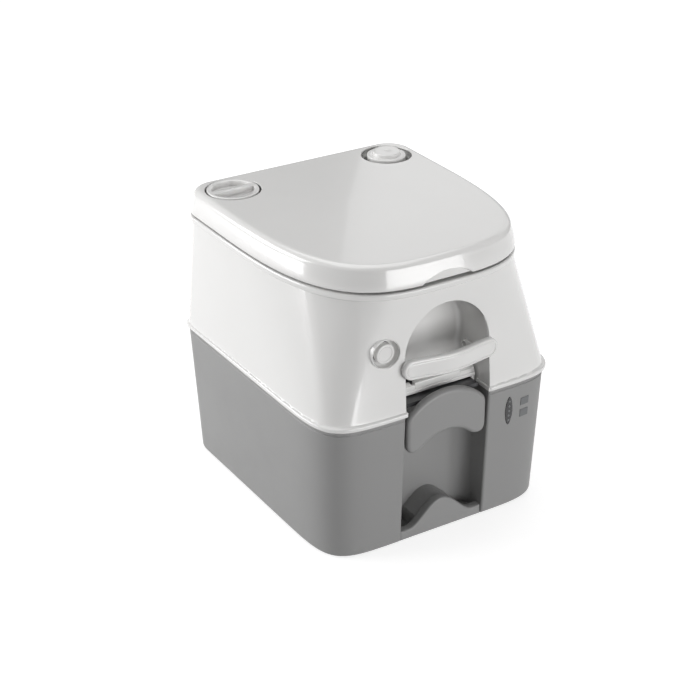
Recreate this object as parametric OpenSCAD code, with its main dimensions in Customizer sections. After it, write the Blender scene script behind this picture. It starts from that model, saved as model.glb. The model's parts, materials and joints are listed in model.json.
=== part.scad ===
// Portable camp toilet: a grey waste tank with a slide valve, a white flush tank with bowl, seat and lid.
// Front faces -Y, left is -X, Z is up. The origin is on the floor under the middle of the overall box.

/* [Overall] */
// Width of the flush tank at the parting line
body_w = 340; // [300:5:420]
// Depth of the flush tank at the parting line, front to back
body_d = 369; // [345:3:450]
// Height of the parting line between the two tanks
part_z = 180; // [150:1:220]
// Height of the white walls above the parting line
wall_h = 150; // [140:1:185]
// Height of the rim band that crowns the flush tank
rim_h = 8; // [6:0.5:12]
// Height of the lid, skirt edge to top
lid_h = 31; // [29:0.5:38]

/* [Walls and gaps] */
// Wall of the waste tank
tank_t = 3; // [2.5:0.5:5]
// Wall of the flush tank
shell_t = 3; // [2.5:0.5:5]
// Wall of the lid
lid_t = 3; // [2.5:0.5:4]
// Clearance between pieces that only lie beside each other
gap = 0.5; // [0.4:0.1:1]
// Radial clearance of pins and other running fits
fit = 0.05; // [0.02:0.01:0.1]

/* [Outline] */
// Squareness of the outline at the parting line
seam_n = 7.7; // [4:0.1:9]
// Squareness of the outline at the rim and lid
rim_n = 3.3; // [2.5:0.1:5]
// How much narrower each side of the rim is than the parting line
rim_in = 7; // [3:0.5:14]
// How far the rim sits behind the parting line at the front
rim_back = 9; // [4:0.5:16]
// Radius of the rear corners at the parting line
seam_rb = 26; // [15:1:45]
// Radius of the rear corners of the rim and lid
rim_rb = 38; // [25:1:50]
// How much each side of the waste tank draws in towards the floor
tank_draft = 6.5; // [3:0.5:12]
// How much rounder the waste tank's rear corners are at the floor
tank_rb = 13; // [0:1:20]

/* [Front recess] */
// Half width of the front recess, the same in both tanks
rec_hw = 60; // [50:1:70]
// Depth of the recess in the flush tank
rec_deep = 67; // [55:1:75]
// Depth of the recess in the waste tank
notch_deep = 50; // [40:1:60]
// Crown of the arched recess above the parting line
rec_h = 131; // [126:1:138]

/* [Valve] */
// Radius of the waste opening
valve_r = 42; // [34:1:44]
// Thickness of the valve blade
blade_t = 5; // [4:0.5:6]
// Travel of the valve blade
blade_stroke = 100; // [92:1:104]

/* [Bowl, seat and openings] */
// Half width of the bowl at the rim
bowl_hw = 104; // [90:1:108]
// Thickness of the seat
seat_t = 15; // [12:0.5:17]
// Radius of the filler cap
cap_r = 33; // [28:0.5:33.5]
// Radius of the pump knob
knob_r = 25.5; // [20:0.5:28]
// Sideways distance of cap and pump from the middle
port_x = 113.7; // [108:0.5:116]
// Height of the pump stroke
pump_stroke = 50; // [30:1:60]

/* [Hardware] */
// Radius of the hinge pins
pin_r = 2.5; // [2:0.1:3]
// Radius of the flush button
button_r = 12.5; // [10:0.5:13]
// Radius of the pour spout
spout_r = 15; // [12:0.5:16]
// Thickness of the carry handle
strap_t = 9; // [7:0.5:11]
// Height of the carry handle
strap_h = 25; // [20:0.5:28]

/* [Hidden] */
$fn = 48;
// How far a cutter reaches past the face that it opens.
past = 0.01;
white = [0.93, 0.93, 0.92];
cream = [0.88, 0.88, 0.86];
grey = [0.55, 0.56, 0.57];
dark = [0.2, 0.21, 0.22];
steel = [0.72, 0.73, 0.75];
rubber = [0.12, 0.12, 0.13];

// The bowed handle stands before the front wall and the hinge barrels behind the rear wall, and the
// origin is under the middle of the whole.
barrel_r = 5;
hinge_back = 3;
over_back = hinge_back + barrel_r;
strap_bow = 8;
strap_out = 2;
over_front = strap_bow + strap_out;
front_y = -(body_d + over_front + over_back) / 2 + over_front;
back_y = front_y + body_d;
hinge_y = back_y + hinge_back;
seam_ys = front_y + 191;
rim_ys = front_y + 279;

rim_z = part_z + wall_h;
deck_z = rim_z + rim_h;
lid_z = deck_z + 3;
top_z = lid_z + lid_h;
hinge_z = lid_z - 1;
bead_h = 6;
bead_out = 2;
tank_top = part_z - gap;
tank_in = 3;

FRONT_SEGS = 40;
BACK_SEGS = 5;
function sgn(v) = v < 0 ? -1 : 1;
// Radius that puts a point of a superellipse of squareness n on the ray at angle a.
function super_r(a, n) = 1 / pow(pow(abs(cos(a)), n) + pow(abs(sin(a)), n), 1 / n);
// One outline: arcs at the rear corners, a superellipse round the front. d is the inset from the outline.
function outline(hw, yf, ys, yb, n, rb, d = 0) = concat(
  [for (i = [0 : BACK_SEGS]) let (a = 90 * i / BACK_SEGS)
    [hw - rb + (rb - d) * cos(a), yb - rb + (rb - d) * sin(a)]],
  [for (i = [0 : BACK_SEGS]) let (a = 90 + 90 * i / BACK_SEGS)
    [-(hw - rb) + (rb - d) * cos(a), yb - rb + (rb - d) * sin(a)]],
  [for (i = [0 : FRONT_SEGS]) let (a = 180 + 180 * i / FRONT_SEGS, r = super_r(a, n))
    [(hw - d) * cos(a) * r, ys + (ys - yf - d) * sin(a) * r]]);
function seam_outline(d = 0) = outline(body_w / 2, front_y, seam_ys, back_y, seam_n, seam_rb, d);
function rim_outline(d = 0) =
  outline(body_w / 2 - rim_in, front_y + rim_back, rim_ys, back_y - 1, rim_n, rim_rb, d);
function blend2(p, q, u) = [for (i = [0 : len(p) - 1]) p[i] * (1 - u) + q[i] * u];
// Outline of the flush tank's wall at height z.
function wall_at(z, d) = blend2(seam_outline(bead_out + d), rim_outline(2.5 + d), (z - part_z) / wall_h);
// Points along an arc about (x, y), from angle a0 to a1 in m steps.
function arc(x, y, r, a0, a1, m) =
  [for (i = [0 : m]) let (a = a0 + (a1 - a0) * i / m) [x + r * cos(a), y + r * sin(a)]];
function lift(p, z) = [for (q = p) [q.x, q.y, z]];
function faces_between(a, b, m) = [for (j = [0 : m - 1]) let (k = (j + 1) % m)
  each [[a * m + j, b * m + j, b * m + k], [a * m + j, b * m + k, a * m + k]]];
// A solid through closed rings, each a list of points anticlockwise from above.
module loft(rings) {
  m = len(rings[0]);
  n = len(rings);
  polyhedron(points = [for (r = rings) each r],
    faces = concat([[for (j = [0 : m - 1]) j]],
      [for (i = [0 : n - 2]) each faces_between(i, i + 1, m)],
      [[for (j = [m - 1 : -1 : 0]) (n - 1) * m + j]]), convexity = 8);
}
module box(x0, x1, y0, y1, z0, z1) { translate([x0, y0, z0]) cube([x1 - x0, y1 - y0, z1 - z0]); }
module rod_x(x0, x1, y, z, r) { translate([x0, y, z]) rotate([0, 90, 0]) cylinder(r = r, h = x1 - x0); }
module rod_y(x, y0, y1, z, r) { translate([x, y0, z]) rotate([-90, 0, 0]) cylinder(r = r, h = y1 - y0); }
// A round cutter along Y with flat sides, for cuts through a wall that is itself made of flats.
module flat_rod_y(x, y0, y1, z, r) {
  translate([x, y1, z]) rotate([90, 0, 0]) linear_extrude(y1 - y0) polygon(arc(0, 0, r, 0, 350, 35));
}
module rod_z(x, y, z0, z1, r) { translate([x, y, z0]) cylinder(r = r, h = z1 - z0); }
module both() { children(); mirror([1, 0, 0]) children(); }
module tube_z(x, y, z0, z1, ro, ri) {
  difference() { rod_z(x, y, z0, z1, ro); rod_z(x, y, z0 - 1, z1 + 1, ri); }
}
// A coil spring drawn as its sleeve of space, along Z from the origin.
module spring_sleeve(h, ro, ri) { tube_z(0, 0, 0, h, ro, ri); }

// ---- waste tank ----
foot_r = 8;
notch_y = front_y + notch_deep;
notch_c = 12;
function tank_at(z, d) = let (u = 1 - z / tank_top)
  outline(body_w / 2, front_y, seam_ys, back_y, seam_n, seam_rb + tank_rb * u, tank_in + tank_draft * u + d);
module tank_outer() {
  loft([lift(tank_at(0, foot_r * 0.8), 0), lift(tank_at(0, foot_r * 0.28), foot_r * 0.3),
    lift(tank_at(foot_r, 0), foot_r), lift(tank_at(tank_top, 0), tank_top)]);
}
module tank_inner() {
  loft([lift(tank_at(tank_t, tank_t + foot_r * 0.7), tank_t),
    lift(tank_at(foot_r, tank_t), foot_r + tank_t),
    lift(tank_at(tank_top - tank_t, tank_t), tank_top - tank_t)]);
}
module notch(grow = 0) {
  hw = rec_hw + grow;
  y1 = notch_y + grow;
  translate([0, 0, -10]) linear_extrude(part_z + 20) {
    polygon(concat([[-hw, front_y - 20], [hw, front_y - 20]],
      arc(hw - notch_c, y1 - notch_c, notch_c, 0, 90, 6),
      arc(notch_c - hw, y1 - notch_c, notch_c, 90, 180, 6)));
  }
}
sp_x = 85;
sp_deep = 36;
sp_y = back_y - tank_in - sp_deep / 2 - 3;
sp_z = tank_top - 28;
bay_x0 = -95;
bay_x1 = sp_x + spout_r + 6;
bay_z0 = sp_z - spout_r - 6;
bay_z1 = sp_z + spout_r + 6;
module spout_bay(grow = 0) {
  box(bay_x0 - grow, bay_x1 + grow, sp_y - sp_deep / 2 - grow, back_y + 20, bay_z0 - grow, bay_z1 + grow);
}
valve_y = front_y + rec_deep + 98;
gauge_x = 92;
gauge_z = part_z - 37.5;
gauge_hw = 5.5;
gauge_hh = 19.5;
wall_lean = atan(tank_draft / tank_top);
// How far the front wall has curved back at a distance x from the middle.
function front_sag(x) =
  (seam_ys - front_y) * (1 - pow(1 - pow(x / (body_w / 2 - tank_in), seam_n), 1 / seam_n));
// Puts its children on the waste tank's front wall at height z, with -Y facing out of the wall.
module on_tank_front(x, z) {
  y = front_y + tank_in + tank_draft * (1 - z / tank_top) + front_sag(x);
  translate([x, y, z]) rotate([0, 0, atan(front_sag(x + 1) - front_sag(x))]) rotate([wall_lean, 0, 0])
    children();
}
// A pill shape standing upright, from depth y0 to y1.
module pill_y(hw, hh, y0, y1) {
  translate([0, y1, 0]) rotate([90, 0, 0]) linear_extrude(y1 - y0) {
    polygon(concat(arc(0, hh - hw, hw, 0, 180, 10), arc(0, hw - hh, hw, 180, 360, 10)));
  }
}
module waste_tank() color(grey) difference() {
  tank_outer();
  notch();
  spout_bay();
  difference() { tank_inner(); notch(tank_t); spout_bay(tank_t); }
  rod_z(0, valve_y, tank_top - 10, tank_top + 1, valve_r + 4);
  rod_z(sp_x, sp_y, bay_z0 - 10, bay_z0 + 1, collar_r + 0.1);
  on_tank_front(gauge_x, gauge_z) pill_y(gauge_hw + 0.1, gauge_hh + 0.1, -3, tank_t + 3);
  pads_at() box(-6.4, 6.4, -3, 0.6, -5.1, 5.1);
  rod_y(vent_x, sp_y - sp_deep / 2 - 8, sp_y - sp_deep / 2 + 1, vent_z, vent_r + 2.1);
}
grip_low = 14;
grip_top = 44;
grip_y = front_y + tank_in + tank_draft + 2;
grip_t = 12;
GRIP_STEPS = 32;
// Height of the grip's crest at x: a smooth hump between two low shoulders.
function grip_crest(x) = grip_low + (grip_top - grip_low) * pow(cos(min(90, abs(x) * 90 / 46)), 1.6);
module tank_grip() color(grey) {
  hw = rec_hw - 0.2;
  translate([0, grip_y + grip_t, 0]) rotate([90, 0, 0]) linear_extrude(grip_t)
    polygon(concat([for (i = [0 : GRIP_STEPS]) let (x = hw - 2 * hw * i / GRIP_STEPS) [x, grip_crest(x)]],
      [[-hw, 1], [hw, 1]]));
  box(-20, 20, grip_y + grip_t - 1, notch_y, 1, 30);
}

// ---- slide valve ----
vh_hw = 68;
vh_z0 = tank_top;
vh_lo = 4;
slot_h = blade_t + 2 * gap;
vh_up = 3;
slot_z0 = vh_z0 + vh_lo;
vh_z1 = slot_z0 + slot_h + vh_up;
vh_y0 = front_y + rec_deep + 1;
vh_y1 = valve_y + valve_r + 22;
blade_hw = valve_r + 9;
blade_z = slot_z0 + gap;
module valve_housing() color(grey) difference() {
  box(-vh_hw, vh_hw, vh_y0, vh_y1, vh_z0, vh_z1);
  box(-blade_hw - gap, blade_hw + gap, vh_y0 - 1, vh_y1 - 6, slot_z0, slot_z0 + slot_h);
  rod_z(0, valve_y, vh_z0 - 1, vh_z1 + 1, valve_r + 1);
  valve_screw_at() cylinder(r = 2.2, h = 40, center = true);
}
module valve_screw_at() {
  for (sx = [-1, 1]) for (y = [vh_y0 + 8, vh_y1 - 8]) translate([sx * (vh_hw - 7), y, vh_z1]) children();
}
module valve_screws() color(steel) valve_screw_at() {
  cylinder(r = 4, h = 1.6);
  translate([0, 0, -12]) cylinder(r = 2, h = 12.5);
}
hd_y0 = front_y + 3;
hd_t = 12;
blade_y1 = valve_y + valve_r + 8;
module valve_blade() color(dark) {
  box(-blade_hw, blade_hw, hd_y0 + hd_t, valve_y, blade_z, blade_z + blade_t);
  intersection() {
    box(-blade_hw, blade_hw, valve_y - 1, blade_y1, blade_z, blade_z + blade_t);
    rod_z(0, valve_y, blade_z, blade_z + blade_t, valve_r + 8);
  }
}
hd_hw = rec_hw - 3;
hd_top = part_z + 19;
hd_tip = part_z - 55;
hd_arch = part_z - 36.5;
// The crescent handle seen from the front: a round shouldered top and a hollow underside.
module handle_profile() {
  r = 74;
  difference() {
    intersection() {
      translate([-hd_hw, hd_tip]) square([2 * hd_hw, hd_top - hd_tip]);
      translate([0, hd_top - r]) circle(r = r, $fn = 96);
    }
    translate([0, hd_arch - 52]) circle(r = 52, $fn = 96);
  }
}
module valve_handle() color(grey) {
  translate([0, hd_y0 + hd_t, 0]) rotate([90, 0, 0]) linear_extrude(hd_t) handle_profile();
}
module blade_wiper() color(rubber) difference() {
  box(-vh_hw, vh_hw, vh_y0 - 4, vh_y0, vh_z0, vh_z1);
  box(-blade_hw - 0.3, blade_hw + 0.3, vh_y0 - 5, vh_y0 + 1, blade_z - 0.3, blade_z + blade_t + 0.3);
}
module valve_seal() color(rubber) tube_z(0, valve_y, vh_z1, vh_z1 + 3, valve_r + 8, valve_r + 1);

// ---- level gauge ----
module gauge_window() color(dark) on_tank_front(gauge_x, gauge_z)
  pill_y(gauge_hw, gauge_hh, -0.8, tank_t + gap);
module gauge_body() color(dark) on_tank_front(gauge_x, gauge_z)
  pill_y(gauge_hw + 4, gauge_hh + 4, tank_t + gap, tank_t + 12);
// Puts its children at the two square pads beside the gauge.
module pads_at() { for (z = [gauge_z - 9.5, gauge_z + 7]) on_tank_front(gauge_x + 24.5, z) children(); }
module gauge_pads() color(cream) pads_at() box(-6.3, 6.3, -0.5, 0.4, -5, 5);

// ---- pour spout ----
neck_r = 11;
collar_r = neck_r + 4.4;
spout_wall = 3;
spout_end = -36;
cap_len = 20;
module spout_collar() color(grey) difference() {
  rod_z(sp_x, sp_y, bay_z0 - 12, bay_z0, collar_r);
  rod_z(sp_x, sp_y, bay_z0 - 13, bay_z0 + 1, neck_r + fit);
  tube_z(sp_x, sp_y, bay_z0 - 4, bay_z0 - 1, neck_r + 2.6, neck_r - 1);
}
module spout_oring() color(rubber) tube_z(sp_x, sp_y, bay_z0 - 3.9, bay_z0 - 1.1, neck_r + 2.5, neck_r + fit);
module pour_spout() color(grey) difference() {
  union() {
    rod_x(spout_end, sp_x, sp_y, sp_z, spout_r);
    translate([sp_x, sp_y, sp_z]) sphere(r = spout_r);
    rod_z(sp_x, sp_y, bay_z0 + gap, sp_z, spout_r);
    rod_z(sp_x, sp_y, bay_z0 - 11, bay_z0 + 1, neck_r);
  }
  rod_x(spout_end - 1, sp_x, sp_y, sp_z, spout_r - spout_wall);
  translate([sp_x, sp_y, sp_z]) sphere(r = spout_r - spout_wall);
  rod_z(sp_x, sp_y, bay_z0 - 12, sp_z, neck_r - spout_wall);
}
module spout_gasket() color(rubber) difference() {
  rod_x(spout_end - 2.5, spout_end - 0.3, sp_y, sp_z, spout_r - 0.3);
  rod_x(spout_end - 3, spout_end, sp_y, sp_z, spout_r - spout_wall);
}
module spout_cap() color(dark) difference() {
  union() {
    rod_x(spout_end - 5.5, spout_end - 5.5 + cap_len, sp_y, sp_z, spout_r + 2.6);
    box(spout_end - 9, spout_end - 5, sp_y - 2.5, sp_y + 2.5, sp_z - spout_r + 3, sp_z + spout_r - 3);
  }
  rod_x(spout_end - 2.6, spout_end + cap_len, sp_y, sp_z, spout_r + 0.4);
}
vent_r = 6;
vent_x = -78;
vent_z = sp_z;
vent_y = sp_y - sp_deep / 2;
vent_trav = 4;
module vent_body() color(grey) difference() {
  rod_y(vent_x, vent_y - 16, vent_y, vent_z, vent_r + 2);
  rod_y(vent_x, vent_y - 14, vent_y + 1, vent_z, vent_r + fit);
}
module vent_button() color(dark) {
  rod_y(vent_x, vent_y - 8, vent_y + 5, vent_z, vent_r);
}
module vent_spring() color(steel) translate([vent_x, vent_y - 14, vent_z]) rotate([-90, 0, 0])
  spring_sleeve(6, vent_r - 1, vent_r - 2);
// ---- flush tank ----
shell_z0 = part_z;
floor_z = vh_z1 + 6;
floor_t = 3;
rec_y = front_y + rec_deep;
rec_top = part_z + rec_h;
crease_z = part_z + 104;
crown_y = rec_y - 27;
module shell_outer() {
  loft([lift(seam_outline(0), shell_z0), lift(seam_outline(0), shell_z0 + bead_h - 1.5),
    lift(wall_at(shell_z0 + bead_h, 0), shell_z0 + bead_h), lift(wall_at(rim_z, 0), rim_z)]);
}
module shell_inner() {
  loft([lift(wall_at(shell_z0 - 1, shell_t), shell_z0 - 1), lift(wall_at(rim_z + 1, shell_t), rim_z + 1)]);
}
// The arched hand recess: straight sides, a round crown, and a back wall that leans forward at the top.
module recess(grow = 0) {
  hw = rec_hw + grow;
  y1 = rec_y + grow;
  intersection() {
    translate([0, y1, 0]) rotate([90, 0, 0]) linear_extrude(rec_deep + 40) {
      polygon(concat([[-hw, shell_z0 - 10], [hw, shell_z0 - 10]], arc(0, rec_top + grow - hw, hw, 0, 180, 30)));
    }
    rotate([90, 0, 90]) translate([0, 0, -100]) linear_extrude(200)
      polygon([[front_y - 30, shell_z0 - 20], [y1, shell_z0 - 20], [y1, crease_z],
        [crown_y + grow, rec_top + grow + 1], [front_y - 30, rec_top + grow + 1]]);
  }
}
bz_x = -84;
bz_z = part_z + 85.5;
bz_y = front_y + 13;
bz_r = button_r + 6;
bz_deep = 17;
module upper_shell() color(white) difference() {
  shell_outer();
  difference() { shell_inner(); recess(shell_t); }
  recess();
  flat_rod_y(bz_x, front_y - 20, bz_y + 20, bz_z, bz_r + 0.3);
  // Shallow seats for the round ends of the carry handle.
  both() flat_rod_y(strap_x, front_y - 20, strap_y + strap_t + gap, strap_z, strap_h / 2 + seat_gap);
  // The valve housing and its blade pass under the recess's back wall.
  box(-vh_hw - 2, vh_hw + 2, rec_y - 10, rec_y + shell_t + 5, shell_z0 - 1, floor_z);
}
module tank_floor() color(white) difference() {
  translate([0, 0, floor_z]) linear_extrude(floor_t) polygon(wall_at(floor_z + floor_t, shell_t + gap));
  recess(shell_t + gap);
  rod_z(0, valve_y, floor_z - 1, floor_z + floor_t + 1, valve_r + 2);
}
function ellipse(hx, hy, y, m = 40) =
  [for (i = [0 : m - 1]) [hx * cos(i * 360 / m), y + hy * sin(i * 360 / m)]];
bowl_y = front_y + 165;
bowl_hy = bowl_hw + 2;
bowl_t = 2.5;
bowl_z0 = floor_z + floor_t + 0.1;
BOWL_STEPS = 7;
// The bowl's section: wide at the rim, steep at the front, narrowing to the waste opening.
function bowl_ring(u, d) = let (w = pow(u, 0.7), z = bowl_z0 + (deck_z - 4 - bowl_z0) * u)
  lift(blend2(ellipse(valve_r + d, valve_r + d, valve_y), ellipse(bowl_hw + d, bowl_hy + d, bowl_y), w), z);
module bowl() color(cream) difference() {
  loft([for (i = [0 : BOWL_STEPS]) bowl_ring(i / BOWL_STEPS, bowl_t)]);
  loft([for (i = [0 : BOWL_STEPS]) let (r = bowl_ring(i / BOWL_STEPS, 0))
    [for (p = r) p + [0, 0, i == 0 ? -1 : i == BOWL_STEPS ? 1 : 0]]]);
  flat_rod_y(0, bowl_y, nz_y + 10, nz_z, nz_r + 0.2);
}
module bowl_outlet() color(cream) difference() {
  union() {
    rod_z(0, valve_y, vh_z1 + 3.3, bowl_z0, valve_r + 1.8);
    rod_z(0, valve_y, vh_z1 + 3.3, floor_z - 0.05, valve_r + 7);
  }
  rod_z(0, valve_y, vh_z1, bowl_z0 + 1, valve_r);
}
port_y = hinge_y - 55.7;
module top_deck() color(white) difference() {
  union() {
    difference() {
      translate([0, 0, rim_z]) linear_extrude(rim_h) polygon(rim_outline(0));
      translate([0, 0, rim_z - 1]) linear_extrude(rim_h - 3) polygon(rim_outline(6));
    }
    both() for (x = [40, 72]) {
      rod_x(x, x + 8, hinge_y, hinge_z, barrel_r);
      box(x, x + 8, hinge_y - 12, hinge_y, hinge_z - barrel_r, hinge_z - 0.5);
    }
  }
  translate([0, 0, rim_z - 2]) linear_extrude(rim_h + 4) polygon(ellipse(bowl_hw, bowl_hy, bowl_y));
  translate([0, 0, rim_z - 2]) linear_extrude(rim_h - 1.9) polygon(ellipse(bowl_hw + 3, bowl_hy + 3, bowl_y));
  rod_z(port_x, port_y, rim_z, deck_z + 1, cyl_r);
  rod_z(-port_x, port_y, rim_z, deck_z + 1, fill_r - 3);
  both() rod_x(30, 90, hinge_y, hinge_z, pin_r + fit);
  // Room for the barrels of the seat and the lid to turn in.
  both() rod_x(48, 72, hinge_y, hinge_z, barrel_r + gap);
  hinge_screw_at() rod_z(0, 0, -3.2, 1, screw_r + fit);
}

// ---- flush button ----
module flush_bezel() color(white) difference() {
  rod_y(bz_x, bz_y - 1, bz_y + bz_deep, bz_z, bz_r);
  translate([bz_x, bz_y - 1 - past, bz_z]) rotate([-90, 0, 0]) cylinder(r1 = bz_r - 0.8, r2 = button_r + 1.5, h = 8);
  rod_y(bz_x, bz_y, bz_y + bz_deep + 1, bz_z, button_r + fit);
}
fv_y = bz_y + bz_deep;
module flush_button() color(white) difference() {
  union() {
    rod_y(bz_x, bz_y - 1, bz_y + bz_deep - 6, bz_z, button_r);
    rod_y(bz_x, bz_y + bz_deep - 7, fv_y + 6, bz_z, 3);
  }
  difference() {
    rod_y(bz_x, bz_y - 2, bz_y - 0.2, bz_z, button_r - 3);
    rod_y(bz_x, bz_y - 3, bz_y + 1, bz_z, button_r - 4);
  }
}
module flush_valve() color(dark) difference() {
  union() {
    rod_y(bz_x, fv_y, fv_y + 22, bz_z, 15);
    rod_y(bz_x, fv_y + 21, fv_y + 30, bz_z, 4.5);
  }
  rod_y(bz_x, fv_y - 1, fv_y + 14, bz_z, 3 + fit);
}
module flush_spring() color(steel) translate([bz_x, bz_y + bz_deep - 6, bz_z]) rotate([-90, 0, 0])
  spring_sleeve(6, 8, 6.5);
nz_y = bowl_y + bowl_hy;
nz_z = deck_z - 26;
nz_r = 5;
tube_x = -118;
tube_r = 4;
tube_y = fv_y + 44;
tube_back = nz_y + 12;
// The corners are slightly fatter than the hose, as its pushed-on elbows are.
module elbow(x, y, z) { translate([x, y, z]) sphere(r = tube_r + 0.6); }
module flush_tube() color(cream) {
  rod_y(bz_x, fv_y + 30, tube_y, bz_z, tube_r);
  elbow(bz_x, tube_y, bz_z);
  rod_x(tube_x, bz_x, tube_y, bz_z, tube_r);
  elbow(tube_x, tube_y, bz_z);
  rod_y(tube_x, tube_y, tube_back, bz_z, tube_r);
  elbow(tube_x, tube_back, bz_z);
  rod_z(tube_x, tube_back, bz_z, nz_z, tube_r);
  elbow(tube_x, tube_back, nz_z);
  rod_x(tube_x, -9, tube_back, nz_z, tube_r);
}
module rinse_nozzle() color(white) {
  box(-9, 9, nz_y + 4.5, tube_back + 6, nz_z - 7, nz_z + 7);
  rod_y(0, nz_y - 12, nz_y + 5, nz_z, nz_r);
}

// ---- pump ----
cyl_r = 22;
cyl_t = 2.5;
cyl_z0 = floor_z + floor_t + 0.1;
knob_z0 = deck_z + 14;
rod_r = 5;
pis_z = cyl_z0 + 24;
module pump_cylinder() color(cream) difference() {
  rod_z(port_x, port_y, cyl_z0, deck_z, cyl_r - 0.1);
  rod_z(port_x, port_y, cyl_z0 + 3, deck_z + 1, cyl_r - cyl_t);
  rod_x(port_x - cyl_r - 1, port_x, port_y, cyl_z0 + 8, 3);
}
module pump_collar() color(white) difference() {
  union() {
    rod_z(port_x, port_y, deck_z, deck_z + 10, cyl_r + 5);
    rod_z(port_x, port_y, deck_z - 8, deck_z + 1, cyl_r - cyl_t - 0.1);
  }
  rod_z(port_x, port_y, deck_z - 9, deck_z + 11, rod_r + fit);
}
module pump_rod() color(steel) rod_z(port_x, port_y, pis_z + 8, knob_z0 + 8, rod_r);
module pump_piston() color(rubber) difference() {
  rod_z(port_x, port_y, pis_z, pis_z + 12, cyl_r - cyl_t - fit);
  rod_z(port_x, port_y, pis_z + 8, pis_z + 13, rod_r);
  tube_z(port_x, port_y, pis_z + 4, pis_z + 7, cyl_r, cyl_r - cyl_t - 1.5);
}
knob_top = top_z + 4;
module pump_knob() color(white) difference() {
  union() {
    rod_z(port_x, port_y, knob_z0, top_z - 0.5, knob_r);
    rod_z(port_x, port_y, top_z - 1, knob_top, knob_r - 7.5);
  }
  rod_z(port_x, port_y, knob_z0 - 1, knob_z0 + 8, rod_r);
  rod_z(port_x, port_y, knob_top - 1, knob_top + 1, 1.5);
}

// ---- filler ----
fill_r = 26;
cap_z0 = deck_z + 14;
module filler_neck() color(white) difference() {
  union() {
    rod_z(-port_x, port_y, deck_z, cap_z0 - 0.1, fill_r);
    rod_z(-port_x, port_y, rim_z - 10, deck_z + 1, fill_r - 3.1);
  }
  rod_z(-port_x, port_y, rim_z - 11, cap_z0 + 1, fill_r - 6);
}
module filler_gasket() color(rubber) tube_z(-port_x, port_y, cap_z0 + 0.2, cap_z0 + 2.4, fill_r, fill_r - 6);
module filler_cap() color(white) difference() {
  union() {
    rod_z(-port_x, port_y, cap_z0 - 8, top_z - 0.5, cap_r);
    rod_z(-port_x, port_y, top_z - 1, top_z + 0.5, 2);
  }
  rod_z(-port_x, port_y, cap_z0 - 9, cap_z0 + 2.5, fill_r + 0.6);
  difference() {
    rod_z(-port_x, port_y, top_z - 9, top_z + 2, cap_r - 6);
    box(-port_x - cap_r, -port_x + cap_r, port_y - 5, port_y + 5, top_z - 10, top_z + 3);
  }
}

// ---- carry handle and latch ----
strap_x = rec_hw - 6;
strap_z = part_z + 61.5;
strap_half = strap_x + strap_h / 2;
bow_r = (strap_half * strap_half + strap_bow * strap_bow) / (2 * strap_bow);
strap_y = front_y - strap_out;
seat_gap = 1;
pull = 16;
peg_y = rec_y - pull - 21;
peg_z = strap_z - 14.5;
peg_r = 4;
arm_hh = 6.5;
module strap_profile() {
  square([2 * strap_x, strap_h], center = true);
  for (s = [-1, 1]) translate([s * strap_x, 0]) circle(r = strap_h / 2);
}
module carry_handle() color(white) {
  difference() {
    intersection() {
      rod_z(0, strap_y - strap_bow + bow_r, strap_z - 30, strap_z + 30, bow_r);
      translate([0, strap_y + strap_t, strap_z]) rotate([90, 0, 0]) linear_extrude(strap_t + strap_bow + 5)
        strap_profile();
    }
    rod_z(0, strap_y - strap_bow + strap_t + bow_r, strap_z - 31, strap_z + 31, bow_r);
  }
  both() difference() {
    union() {
      box(rec_hw - 8, rec_hw - 4, strap_y + 2, peg_y + pull, peg_z - arm_hh, peg_z + arm_hh);
      rod_x(rec_hw - 8, rec_hw - 4, peg_y + pull, peg_z, arm_hh);
    }
    for (y = [peg_y, peg_y + pull]) rod_x(rec_hw - 9, rec_hw, y, peg_z, peg_r + fit);
    box(rec_hw - 9, rec_hw, peg_y, peg_y + pull, peg_z - peg_r - fit, peg_z + peg_r + fit);
  }
}
module handle_pegs() color(white) both() {
  rod_x(rec_hw - 9.5, rec_hw, peg_y, peg_z, peg_r);
  rod_x(rec_hw - 11, rec_hw - 8.5, peg_y, peg_z, peg_r + 1.5);
}
lt_r = 6;
lt_y = rec_y - 30.5;
lt_z = blade_z + blade_t + lt_r + 2;
lt_pin = 2.5;
lt_hw = rec_hw - 2.5;
module latch_lever() color(white) difference() {
  union() {
    box(-lt_hw, lt_hw, lt_y - lt_r, lt_y - lt_r + 4, lt_z - lt_r - 0.5, lt_z + 7);
    rod_x(-lt_hw, -lt_hw + 24, lt_y, lt_z, lt_r);
    rod_x(lt_hw - 24, lt_hw, lt_y, lt_z, lt_r);
    both() box(blade_hw + 2, lt_hw, lt_y - lt_r, lt_y - lt_r + 4, blade_z - 4, lt_z);
  }
  rod_x(-lt_hw - 1, lt_hw + 1, lt_y, lt_z, lt_pin + fit);
  rod_x(-13, 13, lt_y, lt_z, lt_pin + 2);
  rod_y(lt_hw - 30, lt_y - lt_r - 1, lt_y, lt_z - 2, 1.6);
}
module latch_pin() color(steel) rod_x(-rec_hw + 0.2, rec_hw - 0.2, lt_y, lt_z, lt_pin);
module latch_spring() color(steel) difference() {
  rod_x(-12, 12, lt_y, lt_z, lt_pin + 1.6);
  rod_x(-13, 13, lt_y, lt_z, lt_pin + 0.2);
}

// ---- seat and lid ----
seat_z = deck_z + 3.2;
seat_hw = body_w / 2 - rim_in - 16;
tongue_hw = port_x - cap_r - 6;
seat_back = hinge_y - 32;
seat_ys = front_y + 214;
seat_front = front_y + rim_back + 15;
waist_y = port_y - cap_r + 6;
seat_hole = 12;
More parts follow.
